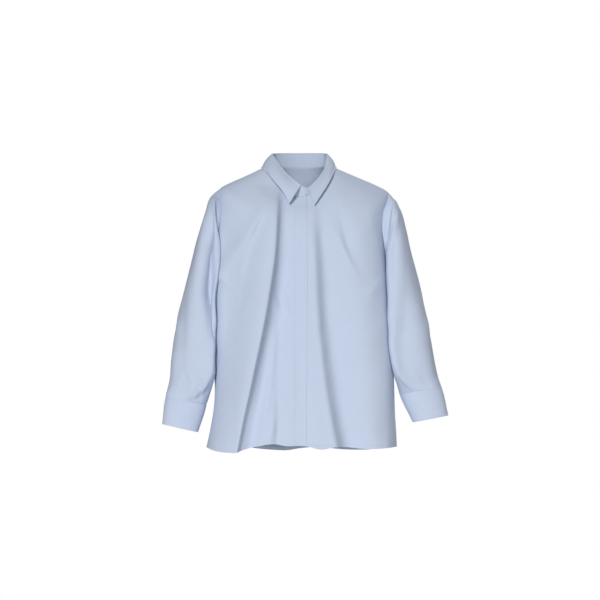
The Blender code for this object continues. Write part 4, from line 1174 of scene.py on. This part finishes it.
def sewing_thread(name, colour):
    """Twisted thread: fine slanting strands."""
    thread = Material(name, colour, 0.6, Sheen_Weight=0.3)
    strands = thread.add(
        "TexWave", 0, (("bands_direction", "DIAGONAL"),), Vector=thread.add("TexCoord", "Object"),
        Scale=1500.0, Distortion=1.5, Detail=1.0,
    )
    thread.tones(strands, 0.86, 1.05)
    thread.set(Normal=thread.add("Bump", Height=strands, Distance=0.00005, Strength=0.6))
    return thread.made


def button_plastic(name, colour):
    """Moulded shirt button: a slightly clouded polyester with a polished face."""
    plastic = Material(name, colour, 0.28, Coat_Weight=0.3, Coat_Roughness=0.12)
    where = plastic.add("TexCoord", "Object")
    cloud = plastic.add("TexNoise", Vector=where, Scale=420.0, Detail=4.0, Distortion=1.2)
    plastic.tones(cloud, 0.88, 1.08, 0.3, 0.7)
    scuff = plastic.add("TexNoise", Vector=where, Scale=2400.0, Detail=2.0)
    plastic.set(Roughness=plastic.add("MapRange", Value=scuff, To_Min=0.22, To_Max=0.36))
    return plastic.made


def floor_paint(name, colour):
    paint = Material(name, colour, 0.9, Emission_Color=WHITE, Emission_Strength=FLOOR_GLOW)
    grain = paint.add("TexNoise", Vector=paint.add("TexCoord", "Object"), Scale=1.5, Detail=2.0)
    paint.tones(grain, 0.99, 1.0)
    return paint.made


# ---- studio

def add_camera():
    """A long lens straight in front of the shirt."""
    lens = bpy.data.cameras.new("camera")
    lens.sensor_width = SENSOR
    lens.lens = SENSOR * VIEW_DISTANCE / VIEW_WIDTH
    lens.clip_end = 100.0
    camera = place("camera", lens)
    camera.location = (0.0, -VIEW_DISTANCE, VIEW_HEIGHT)
    camera.rotation_euler = (math.pi / 2, 0.0, 0.0)
    bpy.context.scene.camera = camera


def add_lights():
    for row in LIGHTS:
        light = bpy.data.lights.new(row.name, "SUN")
        light.energy = row.strength
        light.angle = math.radians(row.spread)
        turn, rise = math.radians(row.turn), math.radians(row.rise)
        way = Vector((math.sin(turn) * math.cos(rise), -math.cos(turn) * math.cos(rise), math.sin(rise)))
        place(row.name, light).rotation_euler = way.to_track_quat("Z", "Y").to_euler()


def add_world():
    """A white room: full white where the camera sees it, and dimmer as a light."""
    world = bpy.data.worlds.new("studio")
    world.use_nodes = True
    bpy.context.scene.world = world
    nodes, link = world.node_tree.nodes, world.node_tree.links.new
    seen, lit = nodes["Background"], nodes.new("ShaderNodeBackground")
    for node, strength in ((seen, 1.0), (lit, ROOM_LIGHT)):
        node.inputs["Color"].default_value = WHITE
        node.inputs["Strength"].default_value = strength
    mix = nodes.new("ShaderNodeMixShader")
    link(nodes.new("ShaderNodeLightPath").outputs["Is Camera Ray"], mix.inputs[0])
    link(lit.outputs[0], mix.inputs[1])
    link(seen.outputs[0], mix.inputs[2])
    link(mix.outputs[0], nodes["World Output"].inputs["Surface"])


def add_floor():
    """A round pale floor well below the shirt, out of the camera's first view."""
    shape = bmesh.new()
    bmesh.ops.create_circle(shape, cap_ends=True, segments=FLOOR_SIDES, radius=FLOOR_RADIUS)
    floor = place("floor", mesh_from(shape, "floor", floor_paint("floor_paint", FLOOR_COLOUR)))
    floor.location = (0.0, 0.0, FLOOR_Z)


# ---- the shirt

def register(piece, node):
    """The piece stands for its node and rides with the shirt."""
    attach(piece, "root")
    if node:
        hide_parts(node)


def build_shirt():
    plain = broadcloth("broadcloth", SHIRT_BLUE, CRUMPLE_DEPTH)
    fused = broadcloth("broadcloth_fused", SHIRT_BLUE, CRUMPLE_DEPTH * FUSED_SHARE)
    thread = sewing_thread("thread", THREAD_BLUE)
    plastic = button_plastic("button_plastic", BUTTON_BLUE)
    tree = torso_tree()
    cloth = build_body(plain, fused)
    sewn = {}
    arms = (
        (-1, "right", RIGHT_SLEEVE, RIGHT_CREASES, RIGHT_CUFF, RIGHT_WAVES),
        (1, "left", LEFT_SLEEVE, LEFT_CREASES, LEFT_CUFF, LEFT_WAVES),
    )
    for side, arm, sleeve, creases, cuff, waves in arms:
        name = "sleeve_" + arm
        cloth[name] = build_sleeve(name + "_cloth", side, sleeve, creases, waves, tree, plain)
        name = "cuff_" + arm
        grids = cuff_grids(side, cuff)
        cloth[name] = add_cloth(name + "_cloth", grids[0], grids[0] - grids[1] * DOUBLE, fused)
        sewn[name] = add_stitches(name + "_stitches", cuff_line(grids), thread)
        name = "cuff_button_" + arm
        button, bars = add_button(name, grids, plastic, thread)
        register(button, name)
        register(bars, None)
    cloth["collar_stand"] = build_stand(fused)
    cloth["collar_fall"], line = build_collar(tree, fused)
    sewn["collar_fall"] = add_stitches("collar_stitches", line, thread)
    level = np.linspace(HEM_DEPTH * LEVEL_PER_MM, PLACKET_TOP, PLACKET_POINTS)
    line = torso_line(turn_at_x(PLACKET_INNER_X + STITCH_INSET, level), level, PLACKET_SUNK)
    sewn["fly_placket"] = add_stitches("placket_stitches", line, thread)
    hems = (("front_right", -89.0, -5.0), ("front_left", 7.0, 89.0), ("back", 91.0, 269.0))
    for name, first, last in hems:
        line = torso_line(np.linspace(first, last, HEM_POINTS), HEM_STITCHES * LEVEL_PER_MM, HEM_SUNK)
        sewn[name] = add_stitches(name + "_hem_stitches", line, thread)
    for cut in CUTS:
        piece = cloth[cut.piece]
        register(piece, cut.piece)
        extra = [sewn[cut.piece]] if cut.piece in sewn else []
        for stitches in extra:
            register(stitches, None)


bpy.context.scene.view_settings.view_transform = "Standard"
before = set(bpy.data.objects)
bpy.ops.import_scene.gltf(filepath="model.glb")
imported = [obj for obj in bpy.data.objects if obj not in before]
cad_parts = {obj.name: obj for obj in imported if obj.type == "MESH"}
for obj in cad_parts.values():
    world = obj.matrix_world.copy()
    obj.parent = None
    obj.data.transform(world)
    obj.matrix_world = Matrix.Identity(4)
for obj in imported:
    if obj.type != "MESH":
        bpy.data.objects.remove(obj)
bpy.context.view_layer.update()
add_camera()
add_world()
add_lights()
add_floor()
build_shirt()
